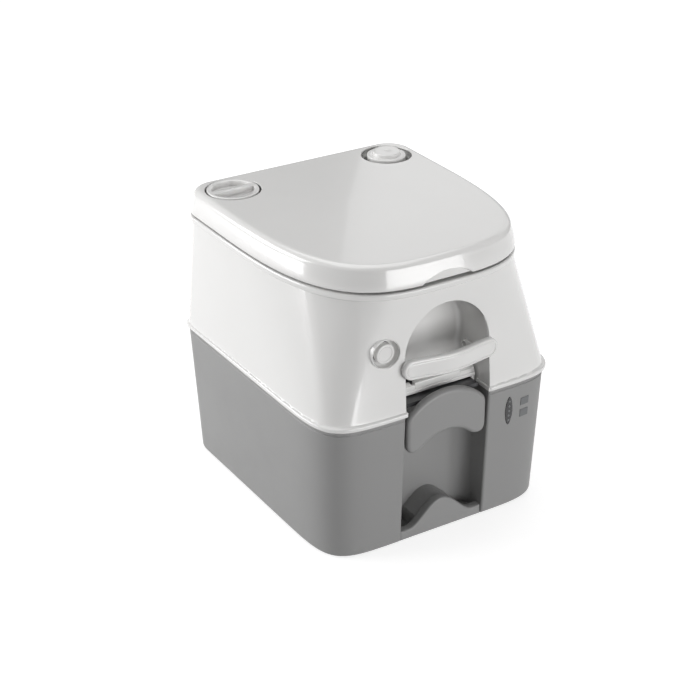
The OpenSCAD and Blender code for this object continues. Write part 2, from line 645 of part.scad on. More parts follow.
// The seat narrows behind the bowl to a tongue that passes between the filler and the pump.
function seat_outline(d) = concat(
  [for (i = [0 : 6]) let (a = 90 * i / 6)
    [tongue_hw - 12 + (12 - d) * cos(a), seat_back + (12 - d) * sin(a)]],
  [for (i = [0 : 6]) let (a = 90 + 90 * i / 6)
    [-(tongue_hw - 12) + (12 - d) * cos(a), seat_back + (12 - d) * sin(a)]],
  [[-tongue_hw + d, waist_y - d]],
  [for (i = [0 : 36]) let (a = 180 + 180 * i / 36, r = super_r(a, 2.8))
    [(seat_hw - d) * cos(a) * r, seat_ys + (seat_ys - seat_front - d) * sin(a) * r]],
  [[tongue_hw - d, waist_y - d]]);
module seat() color(white) difference() {
  union() {
    difference() {
      loft([lift(seat_outline(2), seat_z), lift(seat_outline(0), seat_z + 3),
        lift(seat_outline(0), seat_z + seat_t - 5), lift(seat_outline(2), seat_z + seat_t - 2),
        lift(seat_outline(5), seat_z + seat_t)]);
      loft([lift(ellipse(bowl_hw - seat_hole + 4, bowl_hy - seat_hole + 4, bowl_y), seat_z - 1),
        lift(ellipse(bowl_hw - seat_hole, bowl_hy - seat_hole, bowl_y), seat_z + seat_t - 5),
        lift(ellipse(bowl_hw - seat_hole + 5, bowl_hy - seat_hole + 5, bowl_y), seat_z + seat_t + 1)]);
    }
    both() {
      rod_x(48.5, 59.5, hinge_y, hinge_z, barrel_r);
      box(48.5, 59.5, hinge_y - 30, hinge_y, hinge_z + 1.2, hinge_z + barrel_r);
    }
  }
  both() rod_x(30, 90, hinge_y, hinge_z, pin_r + fit);
}
module seat_bumpers() color(rubber) for (p = [[-105, front_y + 75], [105, front_y + 75], [-55, back_y - 45],
  [55, back_y - 45]]) rod_z(p.x, p.y, deck_z + 0.1, seat_z, 6);
function lid_ring(d) = outline(body_w / 2 - rim_in + 0.5, front_y + rim_back + 0.5, rim_ys, back_y - 2.5, rim_n,
  rim_rb, d);
lid_round = 9;
module lid_outer() {
  loft([lift(lid_ring(0), lid_z), lift(lid_ring(0.6), lid_z + 6), lift(lid_ring(4.6), top_z - lid_round),
    lift(lid_ring(6.4), top_z - lid_round * 0.45), lift(lid_ring(9.4), top_z - lid_round * 0.13),
    lift(lid_ring(14), top_z)]);
}
module lid_inner() {
  loft([lift(lid_ring(lid_t), lid_z - 1), lift(lid_ring(lid_t + 4.6), top_z - lid_round),
    lift(lid_ring(lid_t + 9), top_z - lid_t)]);
}
scoop_w = 34;
scoop_h = 12;
scoop_r = (scoop_w * scoop_w + scoop_h * scoop_h) / (2 * scoop_h);
hole_l = cap_r + 2.2;
hole_r = 33;
module lid() color(white) difference() {
  union() {
    difference() { lid_outer(); lid_inner(); }
    both() {
      rod_x(60.5, 71.5, hinge_y, hinge_z, barrel_r);
      box(60.5, 71.5, hinge_y - 7.5, hinge_y, hinge_z + 1.5, hinge_z + barrel_r);
    }
  }
  both() rod_x(30, 90, hinge_y, hinge_z, pin_r + fit);
  both() box(47, 60.2, hinge_y - 20, hinge_y - 2, lid_z - 2, hinge_z + barrel_r + 2.5);
  rod_z(-port_x, port_y, lid_z + 15, top_z + 5, hole_l);
  rod_z(port_x, port_y, lid_z + 15, top_z + 5, hole_r);
  rod_y(0, front_y - 20, front_y + rim_back + 12, lid_z + scoop_h - scoop_r, scoop_r);
}
module lid_bumpers() color(rubber) for (p = [[-120, front_y + 90], [120, front_y + 90], [-45, back_y - 50],
  [45, back_y - 50]]) rod_z(p.x, p.y, seat_z + seat_t + 0.3, top_z - lid_t, 5);
module hinge_pins() color(steel) both() rod_x(39, 81, hinge_y, hinge_z, pin_r);
screw_r = 1.5;
module hinge_screw_at() { both() for (x = [44, 76]) translate([x, hinge_y - 18, deck_z]) children(); }
module hinge_screws() color(steel) hinge_screw_at() {
  rod_z(0, 0, 0, 1.2, 2 * screw_r);
  rod_z(0, 0, -3, 0.5, screw_r);
}

waste_tank();
tank_grip();
valve_housing();
valve_blade();
valve_handle();
blade_wiper();
valve_seal();
valve_screws();
gauge_window();
gauge_body();
gauge_pads();
spout_collar();
spout_oring();
pour_spout();
spout_gasket();
spout_cap();
vent_body();
vent_button();
vent_spring();
upper_shell();
tank_floor();
top_deck();
bowl();
bowl_outlet();
flush_bezel();
flush_valve();
flush_button();
flush_spring();
flush_tube();
rinse_nozzle();
pump_cylinder();
pump_collar();
pump_rod();
pump_piston();
pump_knob();
filler_neck();
filler_gasket();
filler_cap();
carry_handle();
handle_pegs();
latch_lever();
latch_pin();
latch_spring();
seat();
seat_bumpers();
lid();
lid_bumpers();
hinge_pins();
hinge_screws();
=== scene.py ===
"""Looks of a portable camp toilet: tanks, lid, seat, handle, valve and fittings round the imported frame.

Lengths are in metres. The front faces -Y, left is -X and Z is up.
"""

import json
import logging
import math
from dataclasses import dataclass, field, replace
from enum import Enum
from typing import Callable, Iterable, Optional, Sequence

import bmesh
import bpy
from mathutils import Matrix, Vector, bvhtree

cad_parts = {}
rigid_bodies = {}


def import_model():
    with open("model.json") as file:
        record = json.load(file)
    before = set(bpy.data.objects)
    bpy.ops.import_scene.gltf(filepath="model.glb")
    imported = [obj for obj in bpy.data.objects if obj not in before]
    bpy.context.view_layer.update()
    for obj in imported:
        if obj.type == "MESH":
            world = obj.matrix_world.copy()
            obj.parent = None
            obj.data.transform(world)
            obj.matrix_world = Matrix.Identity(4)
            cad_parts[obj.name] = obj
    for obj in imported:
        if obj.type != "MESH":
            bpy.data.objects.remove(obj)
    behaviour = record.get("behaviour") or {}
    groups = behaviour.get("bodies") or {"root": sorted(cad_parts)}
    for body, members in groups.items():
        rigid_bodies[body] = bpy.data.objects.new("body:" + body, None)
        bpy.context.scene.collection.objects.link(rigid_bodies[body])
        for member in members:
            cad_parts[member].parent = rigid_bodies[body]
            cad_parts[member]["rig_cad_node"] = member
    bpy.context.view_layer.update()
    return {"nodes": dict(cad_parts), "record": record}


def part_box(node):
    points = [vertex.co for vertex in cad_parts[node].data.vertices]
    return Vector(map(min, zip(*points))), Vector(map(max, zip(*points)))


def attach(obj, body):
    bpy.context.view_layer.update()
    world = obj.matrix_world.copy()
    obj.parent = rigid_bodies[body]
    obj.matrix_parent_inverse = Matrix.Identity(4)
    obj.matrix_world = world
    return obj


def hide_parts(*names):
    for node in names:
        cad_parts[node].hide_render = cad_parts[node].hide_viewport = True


LOG = logging.getLogger("camp_toilet")
MM = 0.001
Ring = list[Vector]
Profile = list[tuple[float, float]]
Piece = bpy.types.Object
Node = bpy.types.Node
Socket = bpy.types.NodeSocket
Tree = bpy.types.NodeTree


# --------------------------------------------------------------------------- finishes


class Slot(Enum):
    """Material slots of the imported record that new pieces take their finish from."""

    GREY = "tank_grey"
    WHITE = "shell_white"
    BOWL = "bowl_white"
    DARK = "dark_plastic"
    BLADE = "blade_dark"
    GAUGE = "gauge_dark"
    PAD = "pad_light"
    STEEL = "steel"
    RUBBER = "black_rubber"
    GREY_RUBBER = "grey_rubber"


class NodeSheet:
    """A thin hand on a node tree that adds nodes and links by name."""

    def __init__(self, tree: Tree) -> None:
        """Take hold of a tree.

        Args:
            tree: The shader tree that nodes are added to.
        """
        self.tree = tree

    def add(self, kind: str, **settings: object) -> Node:
        """Add a node and set its properties.

        Args:
            kind: Blender's node type name.
            **settings: Properties to set on the node.

        Returns:
            The new node.
        """
        node = self.tree.nodes.new(kind)
        for key, value in settings.items():
            setattr(node, key, value)
        return node

    def link(self, start: Socket, end: Socket) -> None:
        """Join two sockets."""
        self.tree.links.new(start, end)

    def noise(self, vector: Socket, scale: float, detail: float, rough: float = 0.5) -> Node:
        """Add a noise texture on a vector.

        Args:
            vector: The coordinates to read.
            scale: Noise cells per metre.
            detail: Octaves.
            rough: How strong the fine octaves are.

        Returns:
            The noise node.
        """
        node = self.add("ShaderNodeTexNoise")
        node.inputs["Scale"].default_value = scale
        node.inputs["Detail"].default_value = detail
        node.inputs["Roughness"].default_value = rough
        self.link(vector, node.inputs["Vector"])
        return node

    def span(self, value: Socket, low: float, high: float, to_low: float, to_high: float) -> Socket:
        """Map a value from one range to another, clamped.

        Args:
            value: The value to map.
            low: Start of the range that is read.
            high: End of the range that is read.
            to_low: Result at the start.
            to_high: Result at the end.

        Returns:
            The mapped value's socket.
        """
        node = self.add("ShaderNodeMapRange")
        for name, number in (("From Min", low), ("From Max", high), ("To Min", to_low), ("To Max", to_high)):
            node.inputs[name].default_value = number
        self.link(value, node.inputs["Value"])
        return node.outputs["Result"]

    def maths(self, operation: str, first: Socket, second: object) -> Socket:
        """Combine two values.

        Args:
            operation: Blender's name of the operation.
            first: The first value.
            second: A socket, or a number.

        Returns:
            The result's socket.
        """
        node = self.add("ShaderNodeMath", operation=operation)
        self.link(first, node.inputs[0])
        if isinstance(second, (int, float)):
            node.inputs[1].default_value = second
        else:
            self.link(second, node.inputs[1])
        return node.outputs["Value"]


def new_group(name: str, inputs: dict[str, float],
              outputs: dict[str, str]) -> tuple[Tree, NodeSheet, Node, Node]:
    """Start a shader node group.

    Args:
        name: The group's name.
        inputs: Name and default of each number that it takes.
        outputs: Name and socket type of each result.

    Returns:
        The group, a sheet on it, its input node and its output node.
    """
    tree = bpy.data.node_groups.new(name, "ShaderNodeTree")
    for key, default in inputs.items():
        socket = tree.interface.new_socket(key, in_out="INPUT", socket_type="NodeSocketFloat")
        socket.default_value = default
    for key, kind in outputs.items():
        tree.interface.new_socket(key, in_out="OUTPUT", socket_type=kind)
    sheet = NodeSheet(tree)
    return tree, sheet, sheet.add("NodeGroupInput"), sheet.add("NodeGroupOutput")


class SharedEffects:
    """The shader node groups that more than one finish uses, each built once."""

    def __init__(self) -> None:
        """Build the groups."""
        self.moulding = self.build_moulding()
        self.handling = self.build_handling()
        self.grime = self.build_grime()

    @staticmethod
    def build_moulding() -> Tree:
        """Grain of a moulded surface: a fine spark-eroded texture on a slow waviness.

        Returns:
            A group that gives a bump height and a tone mask.
        """
        tree, sheet, given, out = new_group(
            "moulded_grain",
            {"Grain Scale": 900.0, "Grain": 0.5, "Waviness": 0.3},
            {"Height": "NodeSocketFloat", "Tone": "NodeSocketFloat"},
        )
        place = sheet.add("ShaderNodeTexCoord").outputs["Object"]
        fine = sheet.add("ShaderNodeTexNoise")
        fine.inputs["Detail"].default_value = 3.0
        fine.inputs["Roughness"].default_value = 0.6
        sheet.link(place, fine.inputs["Vector"])
        sheet.link(given.outputs["Grain Scale"], fine.inputs["Scale"])
        slow = sheet.noise(place, 14.0, 1.0)
        grain = sheet.maths("MULTIPLY", fine.outputs["Fac"], given.outputs["Grain"])
        wave = sheet.maths("MULTIPLY", slow.outputs["Fac"], given.outputs["Waviness"])
        sheet.link(sheet.maths("ADD", grain, wave), out.inputs["Height"])
        cloud = sheet.noise(place, 6.0, 4.0)
        sheet.link(sheet.span(cloud.outputs["Fac"], 0.3, 0.7, 0.0, 1.0), out.inputs["Tone"])
        return tree

    @staticmethod
    def build_handling() -> Tree:
        """Marks of use: soft smears and sparse fine scratches.

        Returns:
            A group that gives a smear mask and a scratch mask.
        """
        tree, sheet, given, out = new_group(
            "handling_marks",
            {"Smears": 0.5, "Scratches": 0.5},
            {"Smear": "NodeSocketFloat", "Scratch": "NodeSocketFloat"},
        )
        place = sheet.add("ShaderNodeTexCoord").outputs["Object"]
        smear = sheet.noise(place, 11.0, 6.0, 0.62)
        soft = sheet.span(smear.outputs["Fac"], 0.42, 0.72, 0.0, 1.0)
        sheet.link(sheet.maths("MULTIPLY", soft, given.outputs["Smears"]), out.inputs["Smear"])
        turned = sheet.add("ShaderNodeMapping")
        turned.inputs["Rotation"].default_value = (0.5, 0.3, 0.9)
        turned.inputs["Scale"].default_value = (30.0, 520.0, 520.0)
        sheet.link(place, turned.inputs["Vector"])
        lines = sheet.noise(turned.outputs["Vector"], 1.0, 1.0)
        thin = sheet.span(lines.outputs["Fac"], 0.72, 0.76, 0.0, 1.0)
        patch = sheet.span(sheet.noise(place, 23.0, 2.0).outputs["Fac"], 0.5, 0.62, 0.0, 1.0)
        both = sheet.maths("MULTIPLY", thin, patch)
        sheet.link(sheet.maths("MULTIPLY", both, given.outputs["Scratches"]), out.inputs["Scratch"])
        return tree

    @staticmethod
    def build_grime() -> Tree:
        """Dust on level faces and a scuffed band near the floor.

        Returns:
            A group that gives a dust mask and a scuff mask.
        """
        tree, sheet, given, out = new_group(
            "dust_and_scuffs",
            {"Dust": 0.3, "Scuff Height": 0.03, "Scuffs": 0.5},
            {"Dust": "NodeSocketFloat", "Scuff": "NodeSocketFloat"},
        )
        geometry = sheet.add("ShaderNodeNewGeometry")
        split = sheet.add("ShaderNodeSeparateXYZ")
        sheet.link(geometry.outputs["Normal"], split.inputs["Vector"])
        level = sheet.span(split.outputs["Z"], 0.6, 1.0, 0.0, 1.0)
        place = sheet.add("ShaderNodeTexCoord").outputs["Object"]
        speck = sheet.span(sheet.noise(place, 160.0, 4.0, 0.7).outputs["Fac"], 0.5, 0.8, 0.0, 1.0)
        dusty = sheet.maths("MULTIPLY", level, speck)
        sheet.link(sheet.maths("MULTIPLY", dusty, given.outputs["Dust"]), out.inputs["Dust"])
        where = sheet.add("ShaderNodeSeparateXYZ")
        sheet.link(place, where.inputs["Vector"])
        ratio = sheet.maths("DIVIDE", where.outputs["Z"], given.outputs["Scuff Height"])
        low = sheet.span(ratio, 0.0, 1.0, 1.0, 0.0)
        rub = sheet.span(sheet.noise(place, 75.0, 5.0, 0.7).outputs["Fac"], 0.48, 0.66, 0.0, 1.0)
        worn = sheet.maths("MULTIPLY", low, rub)
        sheet.link(sheet.maths("MULTIPLY", worn, given.outputs["Scuffs"]), out.inputs["Scuff"])
        return tree


@dataclass(frozen=True)
class Plastic:
    """A moulded plastic, from polished to satin."""

    name: str
    colour: tuple[float, float, float]
    roughness: float
    gloss_coat: float = 0.0
    coat_roughness: float = 0.06
    grain_scale: float = 900.0
    grain: float = 0.3
    waviness: float = 0.2
    relief: float = 0.00006
    smears: float = 0.5
    scratches: float = 0.4
    dust: float = 0.2
    scuffs: float = 0.3

    def build(self, effects: SharedEffects) -> bpy.types.Material:
        """Make the material.

        Args:
            effects: The shared node groups.

        Returns:
            The finished material.
        """
        material = bpy.data.materials.new(self.name)
        material.use_nodes = True
        sheet = NodeSheet(material.node_tree)
        shader = material.node_tree.nodes["Principled BSDF"]
        grain = sheet.add("ShaderNodeGroup", node_tree=effects.moulding)
        grain.inputs["Grain Scale"].default_value = self.grain_scale
        grain.inputs["Grain"].default_value = self.grain
        grain.inputs["Waviness"].default_value = self.waviness
        marks = sheet.add("ShaderNodeGroup", node_tree=effects.handling)
        marks.inputs["Smears"].default_value = self.smears
        marks.inputs["Scratches"].default_value = self.scratches
        grime = sheet.add("ShaderNodeGroup", node_tree=effects.grime)
        grime.inputs["Dust"].default_value = self.dust
        grime.inputs["Scuffs"].default_value = self.scuffs
        bump = sheet.add("ShaderNodeBump")
        bump.inputs["Strength"].default_value = 1.0
        bump.inputs["Distance"].default_value = self.relief
        height = sheet.maths("SUBTRACT", grain.outputs["Height"], marks.outputs["Scratch"])
        sheet.link(height, bump.inputs["Height"])
        sheet.link(bump.outputs["Normal"], shader.inputs["Normal"])
        tone = self.tint(sheet, grain.outputs["Tone"], 0.985, 1.012)
        worn = self.lay(sheet, tone, grime.outputs["Scuff"], 0.62, 0.12)
        dusty = self.lay(sheet, worn, grime.outputs["Dust"], 0.7, 0.4)
        sheet.link(dusty, shader.inputs["Base Color"])
        rough = sheet.span(marks.outputs["Smear"], 0.0, 1.0, self.roughness, self.roughness * 1.35 + 0.02)
        dulled = sheet.maths("ADD", rough, sheet.maths("MULTIPLY", grime.outputs["Scuff"], 0.2))
        sheet.link(sheet.maths("ADD", dulled, sheet.maths("MULTIPLY", marks.outputs["Scratch"], 0.15)),
                   shader.inputs["Roughness"])
        shader.inputs["Coat Weight"].default_value = self.gloss_coat
        shader.inputs["Coat Roughness"].default_value = self.coat_roughness
        shader.inputs["IOR"].default_value = 1.5
        return material

    def tint(self, sheet: NodeSheet, mask: Socket, low: float, high: float) -> Socket:
        """Vary the base colour's brightness a little by a mask.

        Args:
            sheet: The material's sheet.
            mask: Where the tone changes.
            low: Brightness factor where the mask is 0.
            high: Brightness factor where the mask is 1.

        Returns:
            The colour's socket.
        """
        mix = sheet.add("ShaderNodeMix", data_type="RGBA")
        mix.inputs["A"].default_value = (*[channel * low for channel in self.colour], 1.0)
        mix.inputs["B"].default_value = (*[min(1.0, channel * high) for channel in self.colour], 1.0)
        sheet.link(mask, mix.inputs["Factor"])
        return mix.outputs["Result"]

    @staticmethod
    def lay(sheet: NodeSheet, colour: Socket, mask: Socket, shade: float, share: float) -> Socket:
        """Lay a neutral shade over a colour by a mask.

        Args:
            sheet: The material's sheet.
            colour: The colour below.
            mask: Where the shade lies.
            shade: The shade's brightness.
            share: How much of it shows where the mask is 1.

        Returns:
            The colour's socket.
        """
        mix = sheet.add("ShaderNodeMix", data_type="RGBA")
        mix.inputs["B"].default_value = (shade, shade, shade * 0.98, 1.0)
        sheet.link(sheet.maths("MULTIPLY", mask, share), mix.inputs["Factor"])
        sheet.link(colour, mix.inputs["A"])
        return mix.outputs["Result"]


@dataclass(frozen=True)
class Steel:
    """Drawn stainless steel for pins, screws and springs."""

    name: str = "drawn_steel"
    colour: tuple[float, float, float] = (0.56, 0.57, 0.58)

    def build(self, effects: SharedEffects) -> bpy.types.Material:
        """Make the material.

        Args:
            effects: The shared node groups.

        Returns:
            The finished material.
        """
        material = bpy.data.materials.new(self.name)
        material.use_nodes = True
        sheet = NodeSheet(material.node_tree)
        shader = material.node_tree.nodes["Principled BSDF"]
        shader.inputs["Metallic"].default_value = 1.0
        grain = sheet.add("ShaderNodeGroup", node_tree=effects.moulding)
        grain.inputs["Grain Scale"].default_value = 2200.0
        marks = sheet.add("ShaderNodeGroup", node_tree=effects.handling)
        mix = sheet.add("ShaderNodeMix", data_type="RGBA")
        mix.inputs["A"].default_value = (*self.colour, 1.0)
        mix.inputs["B"].default_value = (*[channel * 0.82 for channel in self.colour], 1.0)
        sheet.link(grain.outputs["Tone"], mix.inputs["Factor"])
        sheet.link(mix.outputs["Result"], shader.inputs["Base Color"])
        sheet.link(sheet.span(marks.outputs["Smear"], 0.0, 1.0, 0.24, 0.42), shader.inputs["Roughness"])
        bump = sheet.add("ShaderNodeBump")
        bump.inputs["Distance"].default_value = 0.00003
        sheet.link(grain.outputs["Height"], bump.inputs["Height"])
        sheet.link(bump.outputs["Normal"], shader.inputs["Normal"])
        return material


class FinishBook:
    """Every material of the object, made once and found by slot."""

    def __init__(self) -> None:
        """Build all finishes."""
        effects = SharedEffects()
        white = (0.81, 0.805, 0.795)
        self.by_slot: dict[Slot, bpy.types.Material] = {
            Slot.GREY: Plastic("grey_tank_plastic", (0.285, 0.284, 0.283), 0.42, grain_scale=1500.0,
                               grain=0.7,
                               relief=0.00009, smears=0.6, dust=0.35, scuffs=0.6).build(effects),
            Slot.WHITE: Plastic("white_shell_plastic", white, 0.2, 0.7, waviness=0.5, grain=0.05,
                                scratches=0.25, scuffs=0.0).build(effects),
            Slot.BOWL: Plastic("bowl_plastic", (0.8, 0.8, 0.785), 0.16, 0.6, waviness=0.3, grain=0.05,
                               dust=0.05, scuffs=0.0).build(effects),
            Slot.DARK: Plastic("dark_cap_plastic", (0.06, 0.062, 0.066), 0.4, grain=0.6).build(effects),
            Slot.BLADE: Plastic("blade_plastic", (0.035, 0.036, 0.038), 0.32, grain=0.4).build(effects),
            Slot.GAUGE: Plastic("gauge_window_plastic", (0.02, 0.02, 0.022), 0.14, 0.4,
                                grain=0.0).build(effects),
            Slot.PAD: Plastic("printed_pad", (0.16, 0.165, 0.17), 0.5, grain=0.4).build(effects),
            Slot.STEEL: Steel().build(effects),
            Slot.RUBBER: Plastic("black_seal_rubber", (0.02, 0.02, 0.021), 0.6, grain=0.9).build(effects),
            Slot.GREY_RUBBER: Plastic("grey_pad_rubber", (0.2, 0.2, 0.205), 0.62, grain=0.9).build(effects),
        }

    def dress(self, piece: Piece, slot: Slot) -> None:
        """Give a piece its finish.

        Args:
            piece: The object to dress.
            slot: The finish.
        """
        piece.data.materials.clear()
        piece.data.materials.append(self.by_slot[slot])
        "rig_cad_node" not in piece


# --------------------------------------------------------------------------- mesh work


@dataclass(frozen=True)
class BoxOutline:
    """A plan outline: a superellipse round the front, straight sides and round rear corners."""

    half_width: float
    front: float
    shoulder: float
    back: float
    squareness: float
    rear_radius: float

    FRONT_STEPS = 176
    REAR_STEPS = 12

    def ring(self, inset: float, z: float) -> Ring:
        """Points of the outline, anticlockwise from above, starting at the right rear corner.

        Args:
            inset: Distance inside the outline.
            z: Height of the ring.

        Returns:
            The ring's points.
        """
        points: Ring = []
        radius = self.rear_radius
        for side, start in ((1, 0.0), (-1, 90.0)):
            for step in range(self.REAR_STEPS + 1):
                a = math.radians(start + 90.0 * step / self.REAR_STEPS)
                x = side * (self.half_width - radius) + (radius - inset) * math.cos(a)
                points.append(Vector((x, self.back - radius + (radius - inset) * math.sin(a), z)))
        for step in range(self.FRONT_STEPS + 1):
            a = math.radians(180.0 + 180.0 * step / self.FRONT_STEPS)
            c, s, n = math.cos(a), math.sin(a), self.squareness
            reach = (abs(c) ** n + abs(s) ** n) ** (-1.0 / n)
            x = (self.half_width - inset) * c * reach
            points.append(Vector((x, self.shoulder + (self.shoulder - self.front - inset) * s * reach, z)))
        return points


def between(first: Ring, second: Ring, share: float) -> Ring:
    """A ring part of the way from one to another.

    Args:
        first: The ring at share 0.
        second: The ring at share 1.
        share: How far along.

    Returns:
        The ring between.
    """
    return [p.lerp(q, share) for p, q in zip(first, second)]


def drawn_in(ring: Ring, centre: Vector, share: float, z: float) -> Ring:
    """A ring scaled towards a centre and set at a height.

    Args:
        ring: The ring to scale.
        centre: The point it shrinks to.
        share: Remaining size, from 1 to 0.
        z: The new height.

    Returns:
        The smaller ring.
    """
    return [Vector((centre.x + (p.x - centre.x) * share, centre.y + (p.y - centre.y) * share, z))
            for p in ring]


def oval(half_x: float, half_y: float, centre_y: float, z: float, like: int) -> Ring:
    """An oval ring whose points match the order and start of a box outline's ring.

    Args:
        half_x: Half width.
        half_y: Half depth.
        centre_y: Middle of the oval.
        z: Height.
        like: Number of points.

    Returns:
        The ring's points.
    """
    ring: Ring = []
    for step in range(like):
        a = 2.0 * math.pi * step / like
        ring.append(Vector((half_x * math.cos(a), centre_y + half_y * math.sin(a), z)))
    return ring


def aimed(ring: Ring, centre_y: float, half_x: float, half_y: float, z: float) -> Ring:
    """An oval ring with each point on the same bearing as a point of another ring.

    Args:
        ring: The ring whose bearings are used.
        centre_y: Middle of the oval.
        half_x: Half width.
        half_y: Half depth.
        z: Height.

    Returns:
        The oval's points.
    """
    made: Ring = []
    for p in ring:
        a = math.atan2(p.y - centre_y, p.x)
        made.append(Vector((half_x * math.cos(a), centre_y + half_y * math.sin(a), z)))
    return made


class RingLoft:
    """A skin grown ring by ring by extruding the edge of a circle."""

    def __init__(self, ring: Ring) -> None:
        """Start the skin.

        Args:
            ring: Its first ring.
        """
        self.bm = bmesh.new()
        self.rim = bmesh.ops.create_circle(self.bm, segments=len(ring), radius=1.0)["verts"]
        self.first = list(self.rim)
        self.place(ring)

    def place(self, ring: Ring) -> None:
        """Move the open rim onto a ring's points."""
        for vert, point in zip(self.rim, ring):
            vert.co = point

    def rim_edges(self, verts: Sequence[bmesh.types.BMVert]) -> list[bmesh.types.BMEdge]:
        """The edges that run round a rim, in order.

        Args:
            verts: The rim's vertices in order.

        Returns:
            Its edges.
        """
        return [self.bm.edges.get((verts[i - 1], verts[i])) for i in range(len(verts))]

    def grow(self, *rings: Ring) -> "RingLoft":
        """Extrude the open rim onto each ring in turn.

        Args:
            *rings: The next rings.

        Returns:
            The loft itself.
        """
        for ring in rings:
            old = self.rim
            made = bmesh.ops.extrude_edge_only(self.bm, edges=self.rim_edges(old))["geom"]
            fresh = {g for g in made if isinstance(g, bmesh.types.BMVert)}
            self.rim = [next(e.other_vert(v) for e in v.link_edges if e.other_vert(v) in fresh) for v in old]
            self.place(ring)
        return self

    def cap(self, start: bool = True, end: bool = True) -> "RingLoft":
        """Close the first and the last ring with a face each.

        Args:
            start: Whether the first ring is closed.
            end: Whether the last ring is closed.

        Returns:
            The loft itself.
        """
        if start:
            bmesh.ops.contextual_create(self.bm, geom=self.rim_edges(self.first))
        if end:
            bmesh.ops.contextual_create(self.bm, geom=self.rim_edges(self.rim))
        return self

    def close(self) -> "RingLoft":
        """Join the last ring to the first, as in a tube bent round on itself.

        Returns:
            The loft itself.
        """
        edges = self.rim_edges(self.first) + self.rim_edges(self.rim)
        bmesh.ops.bridge_loops(self.bm, edges=edges)
        return self

    def object(self, name: str) -> Piece:
        """Make the skin an object, facing outwards.

        Args:
            name: The object's name.

        Returns:
            The object.
        """
        return to_object(self.bm, name)


def to_object(bm: bmesh.types.BMesh, name: str, crease: float = 32.0) -> Piece:
    """Turn a bmesh into an object with smooth shading and sharp creases.

    Args:
        bm: The mesh, which is freed.
        name: The object's name.
        crease: Angle in degrees above which an edge stays sharp.

    Returns:
        The object, at the origin.
    """
    bmesh.ops.recalc_face_normals(bm, faces=bm.faces[:])
    mesh = bpy.data.meshes.new(name)
    bm.to_mesh(mesh)
    bm.free()
    return link_mesh(mesh, name, crease)


def link_mesh(mesh: bpy.types.Mesh, name: str, crease: float = 32.0) -> Piece:
    """Put a mesh in the scene with smooth shading.

    Args:
        mesh: The mesh.
        name: The object's name.
        crease: Angle in degrees above which an edge stays sharp.

    Returns:
        The object.
    """
    mesh.shade_smooth()
    mesh.set_sharp_from_angle(angle=math.radians(crease))
    piece = bpy.data.objects.new(name, mesh)
    bpy.context.scene.collection.objects.link(piece)
    return piece


def settle(piece: Piece) -> Piece:
    """Apply a piece's modifiers to its mesh.

    Args:
        piece: The object.

    Returns:
        The same object.
    """
    graph = bpy.context.evaluated_depsgraph_get()
    mesh = bpy.data.meshes.new_from_object(piece.evaluated_get(graph), depsgraph=graph)
    old = piece.data
    piece.modifiers.clear()
    piece.data = mesh
    bpy.data.meshes.remove(old)
    return piece


def discard(*pieces: Piece) -> None:
    """Remove helper objects and their meshes."""
    for piece in pieces:
        mesh = piece.data
        bpy.data.objects.remove(piece)
        bpy.data.meshes.remove(mesh)


def carve(piece: Piece, *cutters: Piece, keep: bool = False) -> Piece:
    """Cut solids out of a piece.

    Args:
        piece: The solid that is cut.
        *cutters: The solids taken out of it.
        keep: Whether the cutters stay for another cut.

    Returns:
        The cut piece.
    """
    for cutter in cutters:
        modifier = piece.modifiers.new("cut", "BOOLEAN")
        modifier.operation = "DIFFERENCE"
        modifier.solver = "EXACT"
        modifier.object = cutter
        settle(piece)
    if not keep:
        discard(*cutters)
    return piece


def join(piece: Piece, *others: Piece) -> Piece:
    """Weld solids to a piece.

    Args:
        piece: The solid that grows.
        *others: The solids welded to it, which are used up.

    Returns:
        The grown piece.
    """
    for other in others:
        modifier = piece.modifiers.new("weld", "BOOLEAN")
        modifier.operation = "UNION"
        modifier.solver = "EXACT"
        modifier.object = other
        settle(piece)
    discard(*others)
    return piece


def close_seams(piece: Piece, reach: float = 0.01 * MM) -> Piece:
    """Merge the doubled points that a bevel and a weld leave on a piece.

    Args:
        piece: The piece.
        reach: How near two points have to be to become one.

    Returns:
        The same piece.
    """
    bm = bmesh.new()
    bm.from_mesh(piece.data)
    bmesh.ops.remove_doubles(bm, verts=bm.verts[:], dist=reach)
    bmesh.ops.dissolve_degenerate(bm, edges=bm.edges[:], dist=reach)
    bm.to_mesh(piece.data)
    bm.free()
    return piece


def gather(name: str, *pieces: Piece) -> Piece:
    """Merge separate shells into one object without welding them.

    Args:
        name: The new object's name.
        *pieces: The objects, which are used up.

    Returns:
        The one object.
    """
    bm = bmesh.new()
    for piece in pieces:
        bm.from_mesh(piece.data)
    discard(*pieces)
    mesh = bpy.data.meshes.new(name)
    bm.to_mesh(mesh)
    bm.free()
    return link_mesh(mesh, name)


